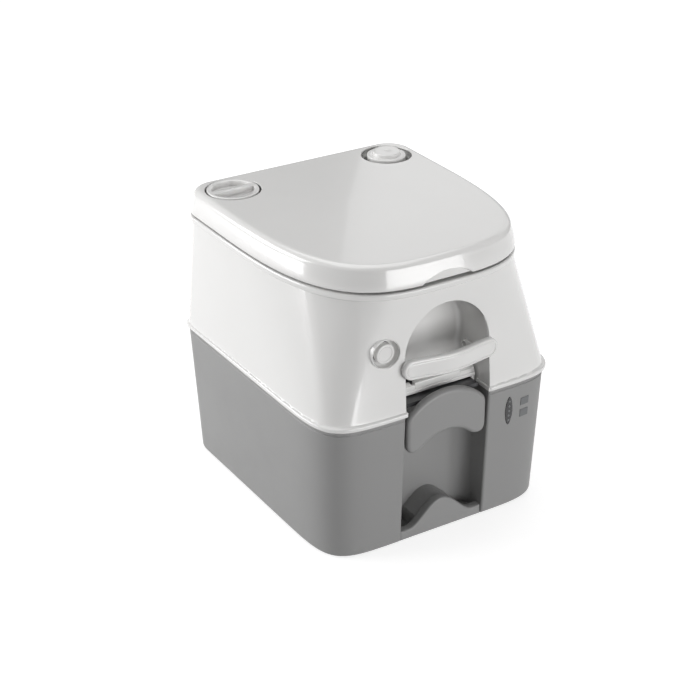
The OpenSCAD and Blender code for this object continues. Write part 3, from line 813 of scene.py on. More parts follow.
def smooth_like(piece: Piece, skin: Piece, reach: float = 0.00006, crease: float = 35.0) -> Piece:
    """Give the cut piece the uncut skin's shading wherever it still lies on that skin.

    Args:
        piece: The cut piece.
        skin: The uncut skin, which is used up.
        reach: How near a vertex has to be to count as on the skin.
        crease: Angle in degrees above which other edges stay sharp.

    Returns:
        The piece.
    """
    piece.data.shade_smooth()
    piece.data.set_sharp_from_angle(angle=math.radians(crease))
    tree = bvhtree.BVHTree.FromObject(skin, bpy.context.evaluated_depsgraph_get())
    group = piece.vertex_groups.new(name="skin")
    near = []
    for vert in piece.data.vertices:
        spot = tree.find_nearest(vert.co)
        if spot[0] is not None and spot[3] < reach:
            near.append(vert.index)
    group.add(near, 1.0, "REPLACE")
    weigh = piece.modifiers.new("weighting", "WEIGHTED_NORMAL")
    weigh.keep_sharp = True
    copy = piece.modifiers.new("shading", "DATA_TRANSFER")
    copy.object = skin
    copy.use_loop_data = True
    copy.data_types_loops = {"CUSTOM_NORMAL"}
    copy.loop_mapping = "POLYINTERP_NEAREST"
    copy.vertex_group = group.name
    settle(piece)
    piece.vertex_groups.clear()
    discard(skin)
    return piece


def lip_curve(radius: float, steps: int = 6, start: float = 14.0) -> Profile:
    """Section of a rounded opening edge, from outside the surface to the full depth of the round.

    Args:
        radius: Radius of the round.
        steps: Steps round it.
        start: Angle in degrees at which it meets the surface.

    Returns:
        Pairs of distance outside the opening and depth below the surface.
    """
    first = math.radians(start)
    base = (radius - radius * math.sin(first), radius - radius * math.cos(first))
    lead = 3.0 * radius
    pairs = [(base[0] + lead * math.cos(first), base[1] - lead * math.sin(first))]
    for step in range(steps + 1):
        a = math.radians(start + (90.0 - start) * step / steps)
        pairs.append((radius - radius * math.sin(a), radius - radius * math.cos(a)))
    return pairs


def rounded_edge(radius: float, soft: float, level: float = 0.0, way: float = -1.0) -> Profile:
    """Quarter round from the end face of a turned piece to its side.

    Args:
        radius: Radius of the side.
        soft: Radius of the rounding.
        level: Place of the end face along the axis.
        way: Which way along the axis the side runs, 1 or -1.

    Returns:
        Radius and place of each point.
    """
    turns = [math.radians(15 * step) for step in range(7)]
    return [(radius - soft * (1 - math.sin(a)), level + way * soft * (1 - math.cos(a))) for a in turns]


def barrel_profile(bore: float, outer: float, length: float, soft: float) -> Profile:
    """Profile of a hollow barrel with chamfered ends.

    Args:
        bore: Radius of the hole.
        outer: Radius of the outside.
        length: Length of the barrel.
        soft: Size of the chamfers.

    Returns:
        The closed profile, as radius and place along the axis.
    """
    return [(bore, 0), (outer - soft, 0), (outer, soft), (outer, length - soft), (outer - soft, length),
            (bore, length), (bore, 0)]


def turned(name: str, profile: Iterable[tuple[float, float]], centre: Vector, axis: Vector,
           steps: int = 96) -> Piece:
    """A round piece spun from its profile.

    Args:
        name: The piece's name.
        profile: Pairs of radius and distance along the axis.
        centre: Where distance 0 lies.
        axis: Direction of the axis.
        steps: Segments round it.

    Returns:
        The piece.
    """
    bm = bmesh.new()
    verts = [bm.verts.new((radius, 0.0, along)) for radius, along in profile]
    edges = [bm.edges.new(pair) for pair in zip(verts, verts[1:])]
    bmesh.ops.spin(bm, geom=verts + edges, cent=(0, 0, 0), axis=(0, 0, 1), angle=2 * math.pi, steps=steps,
                   use_merge=True)
    bmesh.ops.remove_doubles(bm, verts=bm.verts[:], dist=1e-6)
    turn = Vector((0, 0, 1)).rotation_difference(axis.normalized()).to_matrix().to_4x4()
    bmesh.ops.transform(bm, matrix=Matrix.Translation(centre) @ turn, verts=bm.verts[:])
    return to_object(bm, name)


def block(name: str, low: Vector, high: Vector, radius: float = 0.0, segments: int = 3) -> Piece:
    """A box between two corners with rounded edges.

    Args:
        name: The piece's name.
        low: Lowest corner.
        high: Highest corner.
        radius: Radius of its edges.
        segments: Segments round each edge.

    Returns:
        The piece.
    """
    bm = bmesh.new()
    bmesh.ops.create_cube(bm, size=1.0)
    size = high - low
    bmesh.ops.scale(bm, vec=size, verts=bm.verts[:])
    bmesh.ops.translate(bm, vec=(low + high) / 2, verts=bm.verts[:])
    if radius:
        bmesh.ops.bevel(bm, geom=bm.edges[:], offset=radius, offset_type="OFFSET", segments=segments,
                        profile=0.5, affect="EDGES", material=-1, clamp_overlap=True)
    return to_object(bm, name)


def prism(name: str, outline: Sequence[tuple[float, float]], low: float, high: float,
          place: Callable[[float, float, float], Vector],
          radius: float = 0.0, segments: int = 4) -> Piece:
    """A plate cut to an outline, with the edges of its two faces rounded.

    Args:
        name: The piece's name.
        outline: Its outline in two coordinates.
        low: Where its thickness starts.
        high: Where its thickness ends.
        place: Turns the two coordinates and a depth into a point.
        radius: Radius of the face edges.
        segments: Segments round each edge.

    Returns:
        The piece.
    """
    bm = bmesh.new()
    verts = bmesh.ops.create_circle(bm, segments=len(outline), radius=1.0, cap_ends=True)["verts"]
    for vert, (u, v) in zip(verts, outline):
        vert.co = place(u, v, low)
    made = bmesh.ops.extrude_face_region(bm, geom=bm.faces[:])["geom"]
    shift = place(0.0, 0.0, high) - place(0.0, 0.0, low)
    fresh = [g for g in made if isinstance(g, bmesh.types.BMVert)]
    bmesh.ops.translate(bm, vec=shift, verts=fresh)
    bm.normal_update()
    if radius:
        rims = [e for e in bm.edges if any(len(f.verts) > 4 for f in e.link_faces)]
        bmesh.ops.bevel(bm, geom=rims, offset=radius, offset_type="OFFSET", segments=segments, profile=0.5,
                        affect="EDGES", material=-1, clamp_overlap=True)
    return to_object(bm, name)


def hull_ride(piece: Piece, body: str, slot: Slot, book: FinishBook, *nodes: str) -> Piece:
    """Dress a piece, ride it on its body and let it stand for its nodes.

    Args:
        piece: The piece.
        body: The body that it moves with.
        slot: Its finish.
        book: The finishes.
        *nodes: The nodes that it replaces.

    Returns:
        The piece.
    """
    book.dress(piece, slot)
    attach(piece, body)
    if nodes:
        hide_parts(*nodes)
    LOG.info("%s rides on %s, %d faces", piece.name, body, len(piece.data.polygons))
    return piece


def middle(node: str) -> Vector:
    """Centre of a node's box."""
    low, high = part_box(node)
    return (low + high) / 2


# --------------------------------------------------------------------------- shared datum


@dataclass
class Datum:
    """Sizes that several sub-assemblies share, read from the frame's boxes."""

    squareness_seam: float = 7.7
    squareness_rim: float = 3.3
    rear_radius_seam: float = 26 * MM
    rear_radius_rim: float = 38 * MM
    rim_inset: float = 7 * MM
    rim_setback: float = 9 * MM
    bead: float = 2 * MM
    bead_height: float = 6 * MM
    wall: float = 3 * MM
    recess_half: float = 60 * MM
    recess_depth: float = 67 * MM
    recess_rise: float = 131 * MM
    crease_rise: float = 104 * MM
    crown_reach: float = 27 * MM
    half_width: float = field(init=False)
    front: float = field(init=False)
    back: float = field(init=False)
    part_z: float = field(init=False)
    rim_z: float = field(init=False)
    deck_z: float = field(init=False)
    top_z: float = field(init=False)

    def __post_init__(self) -> None:
        """Read the frame's boxes."""
        low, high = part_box("upper_shell")
        self.half_width = (high.x - low.x) / 2
        self.front = low.y
        self.back = high.y
        self.part_z = low.z
        self.rim_z = high.z
        self.hinge = middle("hinge_pins")
        self.top_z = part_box("lid")[1].z
        self.deck_z = self.rim_z + 8 * MM
        self.valve = middle("valve_seal")
        self.bowl = Vector((0.0, self.front + 165 * MM, 0.0))
        self.pump = middle("pump_knob")
        self.filler = middle("filler_cap")

    @property
    def seam(self) -> BoxOutline:
        """Outline at the parting line."""
        return BoxOutline(self.half_width, self.front, self.front + 191 * MM, self.back,
                          self.squareness_seam, self.rear_radius_seam)

    @property
    def rim(self) -> BoxOutline:
        """Outline of the rim band."""
        return BoxOutline(self.half_width - self.rim_inset, self.front + self.rim_setback,
                          self.front + 279 * MM,
                          self.back - 1 * MM, self.squareness_rim, self.rear_radius_rim)

    def wall_ring(self, z: float, inset: float) -> Ring:
        """Ring of the flush tank's wall.

        Args:
            z: Height.
            inset: Distance inside the outer face.

        Returns:
            The ring.
        """
        share = (z - self.part_z) / (self.rim_z - self.part_z)
        return between(self.seam.ring(self.bead + inset, z), self.rim.ring(2.5 * MM + inset, z), share)

    def front_at(self, z: float) -> float:
        """Where the flush tank's front face lies at a height, bead included.

        Args:
            z: Height.

        Returns:
            Its place along Y at the middle.
        """
        share = (z - self.part_z) / (self.rim_z - self.part_z)
        wall = (self.front + self.bead) * (1 - share) + (self.front + self.rim_setback + 2.5 * MM) * share
        rise = z - self.part_z
        if rise > self.bead_height:
            return wall
        return self.front


# --------------------------------------------------------------------------- sub-assemblies


@dataclass
class WasteTank:
    """The grey lower tank with its notch, spout bay and grip."""

    datum: Datum
    top_gap: float = 0.5 * MM
    tuck: float = 3 * MM
    draft: float = 6.5 * MM
    foot: float = 8 * MM
    groove_drop: float = 5.5 * MM
    groove_depth: float = 0.9 * MM
    notch_depth: float = 50 * MM
    notch_corner: float = 16 * MM
    lip: float = 3.2 * MM
    rear_growth: float = 13 * MM

    def ring(self, z: float, inset: float = 0.0) -> Ring:
        """Ring of the tank's outer face.

        Args:
            z: Height.
            inset: Distance inside the face.

        Returns:
            The ring.
        """
        share = 1 - z / (self.datum.part_z - self.top_gap)
        outline = replace(self.datum.seam, rear_radius=self.datum.rear_radius_seam + self.rear_growth * share)
        return outline.ring(self.inset_at(z) + inset, z)

    def inset_at(self, z: float) -> float:
        """How far the face lies inside the parting outline at a height."""
        top = self.datum.part_z - self.top_gap
        return self.tuck + self.draft * (1 - max(z, self.foot) / top)

    def foot_inset(self, z: float) -> float:
        """Extra inset of the rounded foot at a height."""
        if z >= self.foot:
            return 0.0
        drop = (self.foot - z) / self.foot
        return self.foot * 0.85 * (1 - math.sqrt(max(0.0, 1 - drop * drop)))

    def levels(self) -> Profile:
        """Heights of the outer rings and their extra insets, from the floor up."""
        top = self.datum.part_z - self.top_gap
        groove = top - self.groove_drop
        steps = [(z, self.foot_inset(z)) for z in (self.foot * (1 - math.cos(math.radians(a)))
                                                   for a in range(0, 91, 10))]
        steps += [(self.foot + (groove - 2 * MM - self.foot) * i / 22, 0.0) for i in range(1, 23)]
        steps += [(groove - 1.1 * MM, 0.05 * MM), (groove - 0.6 * MM, 0.45 * MM),
                  (groove - 0.2 * MM, self.groove_depth),
                  (groove + 0.3 * MM, self.groove_depth), (groove + 0.7 * MM, 0.4 * MM),
                  (groove + 1.2 * MM, 0.05 * MM),
                  (top - 1.2 * MM, 0.0), (top - 0.4 * MM, 0.25 * MM), (top, 0.9 * MM)]
        return steps

    def skin(self, name: str, closed: bool = True) -> Piece:
        """The outer form.

        Args:
            name: The object's name.
            closed: Whether its ends are closed.

        Returns:
            The form.
        """
        levels = self.levels()
        loft = RingLoft(self.ring(levels[0][0], levels[0][1]))
        loft.grow(*[self.ring(z, extra) for z, extra in levels[1:]])
        return loft.cap(closed, closed).object(name)

    def notch(self, grow: float) -> Piece:
        """The cutter of the front notch, with a rounded lip that follows the front face.

        Args:
            grow: How much larger than the notch it is, for the wall round it.

        Returns:
            The cutter.
        """
        datum = self.datum
        half = datum.recess_half + grow
        deep = datum.front + self.notch_depth + grow
        corner = self.notch_corner
        heights = [-12 * MM, -1 * MM] + [z for z, _ in self.levels()[1:]] + [datum.part_z + 12 * MM]
        arc = [math.radians(a) for a in range(0, 91, 9)]

        def section(z: float) -> Ring:
            level = min(max(z, 0.0), datum.part_z - self.top_gap)
            face = datum.front + self.inset_at(level) + self.foot_inset(level)
            lip = [(half, face - 20 * MM)]
            if not grow:
                lip = [(half + out, face + down) for out, down in lip_curve(self.lip)]
            right = lip + [(half - corner + corner * math.cos(a), deep - corner + corner * math.sin(a))
                           for a in arc]
            left = [(-x, y) for x, y in reversed(right)]
            return [Vector((x, y, z)) for x, y in right + left]

        loft = RingLoft(section(heights[0]))
        loft.grow(*[section(z) for z in heights[1:]])
        return loft.cap().object("notch_cutter")

    def bay(self, grow: float) -> Piece:
        """The cutter of the spout bay in the rear wall."""
        spout_low, spout_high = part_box("pour_spout")
        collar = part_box("spout_collar")[1].z
        centre = middle("pour_spout")
        radius = (spout_high.y - spout_low.y) / 2
        low = Vector((-95 * MM - grow, centre.y - 18 * MM - grow, collar - grow))
        high = Vector((spout_high.x + 6 * MM + grow, self.datum.back + 20 * MM, spout_high.z + 6 * MM + grow))
        return block("bay_cutter", low, high, max(radius * 0.25, 3 * MM), 5)

    def build(self, book: FinishBook) -> None:
        """Make the tank and dress it."""
        datum = self.datum
        body = self.skin("tank_body")
        face = self.skin("tank_face", False)
        top = datum.part_z - self.top_gap
        inner = RingLoft(self.ring(self.foot, self.foot + datum.wall)).grow(
            self.ring(self.foot + 4 * MM, datum.wall), self.ring(top - datum.wall,
                                                                 datum.wall)).cap().object("tank_hollow")
        for vert in inner.data.vertices:
            if vert.co.z < self.foot + 1 * MM:
                vert.co.z = datum.wall
        carve(inner, self.notch(datum.wall), self.bay(datum.wall))
        mouth = turned("mouth_cutter", [(0, -30 * MM), (46 * MM, -30 * MM), (46 * MM, 30 * MM), (0, 30 * MM)],
                       Vector((0, datum.valve.y, top)), Vector((0, 0, 1)))
        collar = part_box("spout_collar")
        seat = (collar[1].x - collar[0].x) / 2 + 0.1 * MM
        cut = turned("collar_cutter", [(0, -8 * MM), (seat, -8 * MM), (seat, 4 * MM), (0, 4 * MM)],
                     Vector((middle("spout_collar").x, middle("spout_collar").y, collar[1].z)),
                     Vector((0, 0, 1)))
        vent = middle("vent_body")
        hole = turned("vent_cutter", [(0, -30 * MM), (8.1 * MM, -30 * MM), (8.1 * MM, 30 * MM), (0, 30 * MM)],
                      Vector((vent.x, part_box("vent_body")[1].y, vent.z)), Vector((0, 1, 0)))
        carve(body, inner, self.notch(0.0), self.bay(0.0), mouth, cut, hole, self.gauge_pocket())
        smooth_like(body, face)
        hull_ride(body, "waste_tank", Slot.GREY, book, "waste_tank")
        self.build_grip(book)

    def gauge_pocket(self) -> Piece:
        """The cutter of the level gauge's window."""
        low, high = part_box("gauge_window")
        centre = (low + high) / 2
        return prism("gauge_cutter", lens(5.7 * MM, 19.7 * MM), low.y - 5 * MM, high.y + 6 * MM,
                     lambda u, v, d: Vector((centre.x + u, d, centre.z + v)))

    def build_grip(self, book: FinishBook) -> None:
        """The low hump across the foot of the notch."""
        low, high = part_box("tank_grip")
        half = (high.x - low.x) / 2
        crest, shoulder, spread = high.z, 14 * MM, 46 * MM
        steps = 48

        def height(x: float) -> float:
            share = min(1.0, abs(x) / spread)
            return shoulder + (crest - shoulder) * math.cos(share * math.pi / 2) ** 1.6

        outline = [(half * (1 - 2 * i / steps), height(half * (1 - 2 * i / steps))) for i in range(steps + 1)]
        outline += [(-half, low.z), (half, low.z)]
        bar = prism("foot_grip", outline, low.y, low.y + 12 * MM,
                    lambda u, v, d: Vector((u, d, v)), 2.6 * MM, 5)
        reach = 31 * MM
        spine = [(reach * (1 - 2 * i / steps), height(reach * (1 - 2 * i / steps)) - 1.6 * MM)
                 for i in range(steps + 1)]
        sunk = low.z + 0.4 * MM
        spine += [(-reach, sunk), (reach, sunk)]
        web = prism("grip_web", spine, low.y + 7 * MM, high.y + 0.6 * MM, lambda u, v, d: Vector((u, d, v)))
        far = Vector((half - 0.15 * MM, high.y + 1 * MM, low.z + 1.6 * MM))
        tray = block("grip_tray", Vector((-far.x, low.y + 6 * MM, low.z + 0.1 * MM)), far)
        close_seams(join(bar, web, tray))
        bar.data.shade_smooth()
        bar.data.set_sharp_from_angle(angle=math.radians(40))
        hull_ride(bar, "waste_tank", Slot.GREY, book, "tank_grip")


def lens(half_width: float, half_height: float, steps: int = 64, fullness: float = 1.75) -> Profile:
    """Outline of an upright lens with blunt tips.

    Args:
        half_width: Its half width.
        half_height: Its half height.
        steps: Steps round it.
        fullness: 2 for an ellipse, less for sharper tips.

    Returns:
        The outline's points.
    """
    points = []
    for step in range(steps):
        a = 2 * math.pi * step / steps
        c, s = math.cos(a), math.sin(a)
        reach = (abs(c) ** fullness + abs(s) ** fullness) ** (-1.0 / fullness)
        points.append((half_width * c * reach, half_height * s * reach))
    return points


def pill(half_width: float, half_height: float, steps: int = 14) -> Profile:
    """Outline of an upright pill.

    Args:
        half_width: Its half width and the radius of its ends.
        half_height: Its half height.
        steps: Steps round each end.

    Returns:
        The outline's points.
    """
    points = []
    for start, side in ((0.0, 1), (180.0, -1)):
        for step in range(steps + 1):
            a = math.radians(start + 180.0 * step / steps)
            points.append((half_width * math.cos(a),
                           side * (half_height - half_width) + half_width * math.sin(a)))
    return points


@dataclass
class FlushTank:
    """The white upper tank: shell with its arched recess, rim band, deck and bowl."""

    datum: Datum
    lip: float = 1.4 * MM
    recess_corner: float = 9 * MM

    def shell_rings(self) -> list[Ring]:
        """Rings of the shell's outer face, from the bead up."""
        datum = self.datum
        z0, seam = datum.part_z, datum.seam
        bead = [(0.0, 1.3), (0.35, 0.6), (1.0, 0.12), (1.8, 0.0), (3.9, 0.0), (4.8, 0.15), (5.4, 0.6),
                (5.8, 1.25)]
        rings = [seam.ring(inset * MM, z0 + rise * MM) for rise, inset in bead]
        rings.append(datum.wall_ring(z0 + 6.4 * MM, -0.15 * MM))
        rings.append(datum.wall_ring(z0 + 7.4 * MM, 0.0))
        start = z0 + 9 * MM
        rings += [datum.wall_ring(start + (datum.rim_z - start) * i / 28, 0.0) for i in range(29)]
        return rings

    def skin(self, name: str, closed: bool = True) -> Piece:
        """The outer form of the shell.

        Args:
            name: The object's name.
            closed: Whether its ends are closed.

        Returns:
            The form.
        """
        rings = self.shell_rings()
        return RingLoft(rings[0]).grow(*rings[1:]).cap(closed, closed).object(name)

    def recess(self, grow: float) -> Piece:
        """The cutter of the arched hand recess.

        Args:
            grow: How much larger than the recess it is, for the wall round it.

        Returns:
            The cutter.
        """
        datum = self.datum
        half = datum.recess_half + grow
        back = datum.front + datum.recess_depth + grow
        spring_z = datum.part_z + datum.recess_rise + grow - half
        floor = datum.part_z - 12 * MM
        rises = [0.0, 0.3, 1.0, 1.8, 3.9, 4.8, 5.4, 6.0, 6.4, 7.4]
        sides = [floor] + [datum.part_z + rise * MM for rise in rises]
        start = sides[-1]
        sides += [start + (spring_z - start) * i / 16 for i in range(1, 17)]
        right = [(half, z, 1.0, 0.0) for z in sides]
        crown = [(half * math.cos(a), spring_z + half * math.sin(a), math.cos(a), math.sin(a))
                 for a in (math.radians(3 * i) for i in range(1, 60))]
        left = [(-half, z, -1.0, 0.0) for z in reversed(sides)]
        path = right + crown + left
        corner = self.recess_corner

        def ring(out: float, depth: Optional[float], y: float) -> Ring:
            points: Ring = []
            for x, z, nx, nz in path:
                place = y
                if depth is not None:
                    place = datum.front_at(max(z, datum.part_z)) + self.bead_bulge(z) + depth
                points.append(Vector((x + nx * out, place, z + nz * out)))
            return points

        loft = RingLoft(ring(-corner - 2 * MM, None, back)).grow(ring(-corner, None, back))
        arc = [math.radians(a) for a in range(15, 91, 15)]
        loft.grow(*[ring(-corner + corner * math.sin(a), None, back - corner + corner * math.cos(a))
                    for a in arc])
        loft.grow(*[ring(0.0, None, back - corner - (datum.recess_depth - corner - 14 * MM) * i / 8)
                    for i in range(1, 9)])
        if grow:
            loft.grow(ring(0.0, None, datum.front - 20 * MM))
        else:
            loft.grow(*[ring(out, depth, 0.0) for out, depth in reversed(lip_curve(self.lip))])
        loft.cap()
        self.lean_back_wall(loft.bm, back, datum.part_z + datum.crease_rise)
        return loft.object("recess_cutter")

    def bead_bulge(self, z: float) -> float:
        """How far the bead's rounded edges lie behind its face at a height."""
        rise = max(0.0, (z - self.datum.part_z) / MM)
        if rise < 1.0:
            return 1.0 * MM * max(0.0, 1.0 - rise) ** 2
        if rise > 4.8 and rise <= 6.0:
            return 1.6 * MM * ((rise - 4.8) / 1.2) ** 2
        return 0.0

    def lean_back_wall(self, bm: bmesh.types.BMesh, back: float, crease: float) -> None:
        """Lean the recess's back wall forward above the crease.

        Args:
            bm: The cutter's mesh.
            back: Where the back wall stands.
            crease: Height of the crease.
        """
        datum = self.datum
        top = datum.part_z + datum.recess_rise
        for i in range(5):
            height = crease + (top - crease) * i / 5
            bmesh.ops.bisect_plane(bm, geom=bm.verts[:] + bm.edges[:] + bm.faces[:],
                                   plane_co=(0, 0, height), plane_no=(0, 0, 1))
        mouth = datum.front + 14 * MM
        for vert in bm.verts:
            if vert.co.z > crease and vert.co.y > mouth:
                share = (vert.co.z - crease) / (top - crease)
                vert.co.y -= datum.crown_reach * share * (vert.co.y - mouth) / (back - mouth)

    def build(self, book: FinishBook) -> None:
        """Make the shell, the rim, the deck and the bowl."""
        self.build_shell(book)
        self.build_sills(book)
        self.build_deck(book)
        self.build_bowl(book)

    def build_shell(self, book: FinishBook) -> None:
        """The outer shell with its recess, button well and handle seats."""
        datum = self.datum
        shell, face = self.skin("shell_body"), self.skin("shell_face", False)
        low = datum.part_z - 1 * MM
        inner = [datum.wall_ring(z, datum.wall) for z in (low, datum.rim_z + 1 * MM)]
        hollow = RingLoft(inner[0]).grow(inner[1]).cap().object("shell_hollow")
        carve(hollow, self.recess(datum.wall))
        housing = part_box("valve_housing")
        slot = block("slot_cutter", Vector((housing[0].x - 2 * MM, housing[0].y - 11 * MM, low)),
                     Vector((housing[1].x + 2 * MM, housing[0].y + 7 * MM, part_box("tank_floor")[0].z)))
        carve(shell, hollow, self.recess(0.0), slot, self.button_well(), *self.handle_seats())
        smooth_like(shell, face)
        hull_ride(shell, "flush_tank", Slot.WHITE, book, "upper_shell")

    def build_sills(self, book: FinishBook) -> None:
        """The low ledges that carry the bead back along the recess's side walls."""
        datum = self.datum
        half = datum.recess_half
        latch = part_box("latch_lever")[0].y
        for side in (-1, 1):
            x0, x1 = sorted((side * (half - 1.8 * MM), side * (half + 1 * MM)))
            sill = block("recess_sill", Vector((x0, datum.front + 1.2 * MM, datum.part_z)),
                         Vector((x1, latch - 0.8 * MM, datum.part_z + datum.bead_height)), 0.8 * MM)
            hull_ride(sill, "flush_tank", Slot.WHITE, book)

    def button_well(self) -> Piece:
        """The cutter of the round well for the flush button."""
        low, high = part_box("flush_bezel")
        centre = (low + high) / 2
        radius = (high.x - low.x) / 2 + 0.1 * MM
        return turned("well_cutter", [(0, -20 * MM), (radius, -20 * MM), (radius, 30 * MM), (0, 30 * MM)],
                      Vector((centre.x, low.y, centre.z)), Vector((0, 1, 0)))

    def handle_seats(self) -> list[Piece]:
        """The cutters of the shallow seats behind the handle's round ends."""
        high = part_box("carry_handle")[1]
        radius = 13.4 * MM
        reach = high.x - 12.5 * MM
        height = high.z - 12.5 * MM
        depth = self.datum.front + 7.5 * MM
        cutters = []
        for side in (-1, 1):
            profile = [(0, -20 * MM), (radius + 1.6 * MM, -20 * MM), (radius + 1.2 * MM, -2.4 * MM),
                       (radius + 0.25 * MM, -1.2 * MM), (radius, -0.5 * MM),
                       (radius - 0.5 * MM, 0), (0, 0)]
            cutters.append(turned("seat_cutter", profile, Vector((side * reach, depth, height)),
                                  Vector((0, 1, 0))))
        return cutters

    def build_deck(self, book: FinishBook) -> None:
        """The rim band and the deck under the seat."""
        datum = self.datum
        rim = datum.rim
        z0, z1 = datum.rim_z, datum.deck_z
        section = [(6.0, -3.4), (6.0, 0.0), (2.2, 0.0), (0.9, 0.25), (0.25, 0.9), (0.0, 1.9), (0.0, 5.6),
                   (0.3, 6.7), (1.1, 7.6), (2.4, 8.0)]
        rings = [rim.ring(inset * MM, z0 + rise * MM) for inset, rise in section]
        outer = rings[-1]
        half_x, half_y = 104 * MM, 106 * MM
        edge = aimed(outer, datum.bowl.y, half_x + 2 * MM, half_y + 2 * MM, z1)
        rings += [between(outer, edge, share) for share in (0.25, 0.5, 0.75, 1.0)]
        drops = [(1.2, 0.15), (0.5, 0.5), (0.1, 1.1), (0.0, 2.0), (0.0, 3.9)]
        rings += [aimed(outer, datum.bowl.y, half_x + out * MM, half_y + out * MM, z1 - drop * MM)
                  for out, drop in drops]
        under = aimed(outer, datum.bowl.y, half_x + 3 * MM, half_y + 3 * MM, z1 - 4 * MM)
        rings += [under, rim.ring(6 * MM, z1 - 4 * MM)]
        deck = RingLoft(rings[0]).grow(*rings[1:-1], rings[-1]).close().object("rim_and_deck")
        for node, radius in (("pump_cylinder", 22.1 * MM), ("filler_cap", 23.2 * MM)):
            centre = middle(node)
            profile = [(0, -20 * MM), (radius, -20 * MM), (radius, 20 * MM), (0, 20 * MM)]
            carve(deck, turned("port_cutter", profile, Vector((centre.x, centre.y, z1)), Vector((0, 0, 1)),
                               64))
        link_smooth(deck)
        lugs = hinge_leaf(datum, [(40, 48), (72, 80)], datum.rim_z + 4.5 * MM, datum.hinge.z - 0.6 * MM,
                          12 * MM)
        deck = gather("rim_and_deck", deck, *lugs)
        hull_ride(deck, "flush_tank", Slot.WHITE, book, "top_deck")

    def build_bowl(self, book: FinishBook) -> None:
        """The bowl: wide and round at the rim, steep in front, narrow at the outlet."""
        datum = self.datum
        low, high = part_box("bowl")
        count = 144
        outlet = 42 * MM

        def ring(share: float, out: float, z: float) -> Ring:
            wide = share ** 0.7
            small = oval(outlet + out, outlet + out, datum.valve.y, z, count)
            large = oval(104 * MM + out, 106 * MM + out, datum.bowl.y, z, count)
            return between(small, large, wide)

        steps = 26
        span = high.z - low.z
        inside = [ring(i / steps, 0.0, low.z + span * i / steps) for i in range(steps + 1)]
        outside = [ring(i / steps, 2.5 * MM, low.z + span * i / steps) for i in range(steps, -1, -1)]
        bowl = RingLoft(inside[0]).grow(*inside[1:], *outside).close().object("bowl_body")
        nozzle = middle("rinse_nozzle")
        carve(bowl, turned("nozzle_cutter", [(0, -30 * MM), (5.2 * MM, -30 * MM), (5.2 * MM, 30 * MM),
                                             (0, 30 * MM)],
                           Vector((0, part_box("rinse_nozzle")[0].y + 10 * MM, nozzle.z)), Vector((0, 1, 0)),
                           48))
        link_smooth(bowl)
        hull_ride(bowl, "flush_tank", Slot.BOWL, book, "bowl")


def link_smooth(piece: Piece, crease: float = 35.0) -> Piece:
    """Shade a cut piece smooth, with sharp creases."""
    piece.data.shade_smooth()
    piece.data.set_sharp_from_angle(angle=math.radians(crease))
    weigh = piece.modifiers.new("weighting", "WEIGHTED_NORMAL")
    weigh.keep_sharp = True
    return settle(piece)


def hinge_leaf(datum: Datum, spans: Profile, low: float, high: float, reach: float) -> list[Piece]:
    """Barrels of one hinge leaf with the webs that carry them, on both sides.

    Args:
        datum: The shared sizes.
        spans: Start and end of each barrel from the middle, in millimetres.
        low: Lowest height of the web.
        high: Highest height of the web.
        reach: How far the web runs forward of the pin.

    Returns:
        The barrels and webs.
    """
    outer, bore = 5 * MM, 2.55 * MM
    made = []
    for start, end in spans:
        for side in (-1, 1):
            x0, x1 = sorted((side * start * MM, side * end * MM))
            length = x1 - x0
            soft = 0.5 * MM
            profile = barrel_profile(bore, outer, length, soft)
            made.append(turned("barrel", profile, Vector((x0, datum.hinge.y, datum.hinge.z)),
                               Vector((1, 0, 0)), 40))
            made.append(block("barrel_web", Vector((x0 + 0.3 * MM, datum.hinge.y - reach, low)),
                              Vector((x1 - 0.3 * MM, datum.hinge.y - bore - 0.6 * MM, high)), 0.5 * MM, 2))
    return made


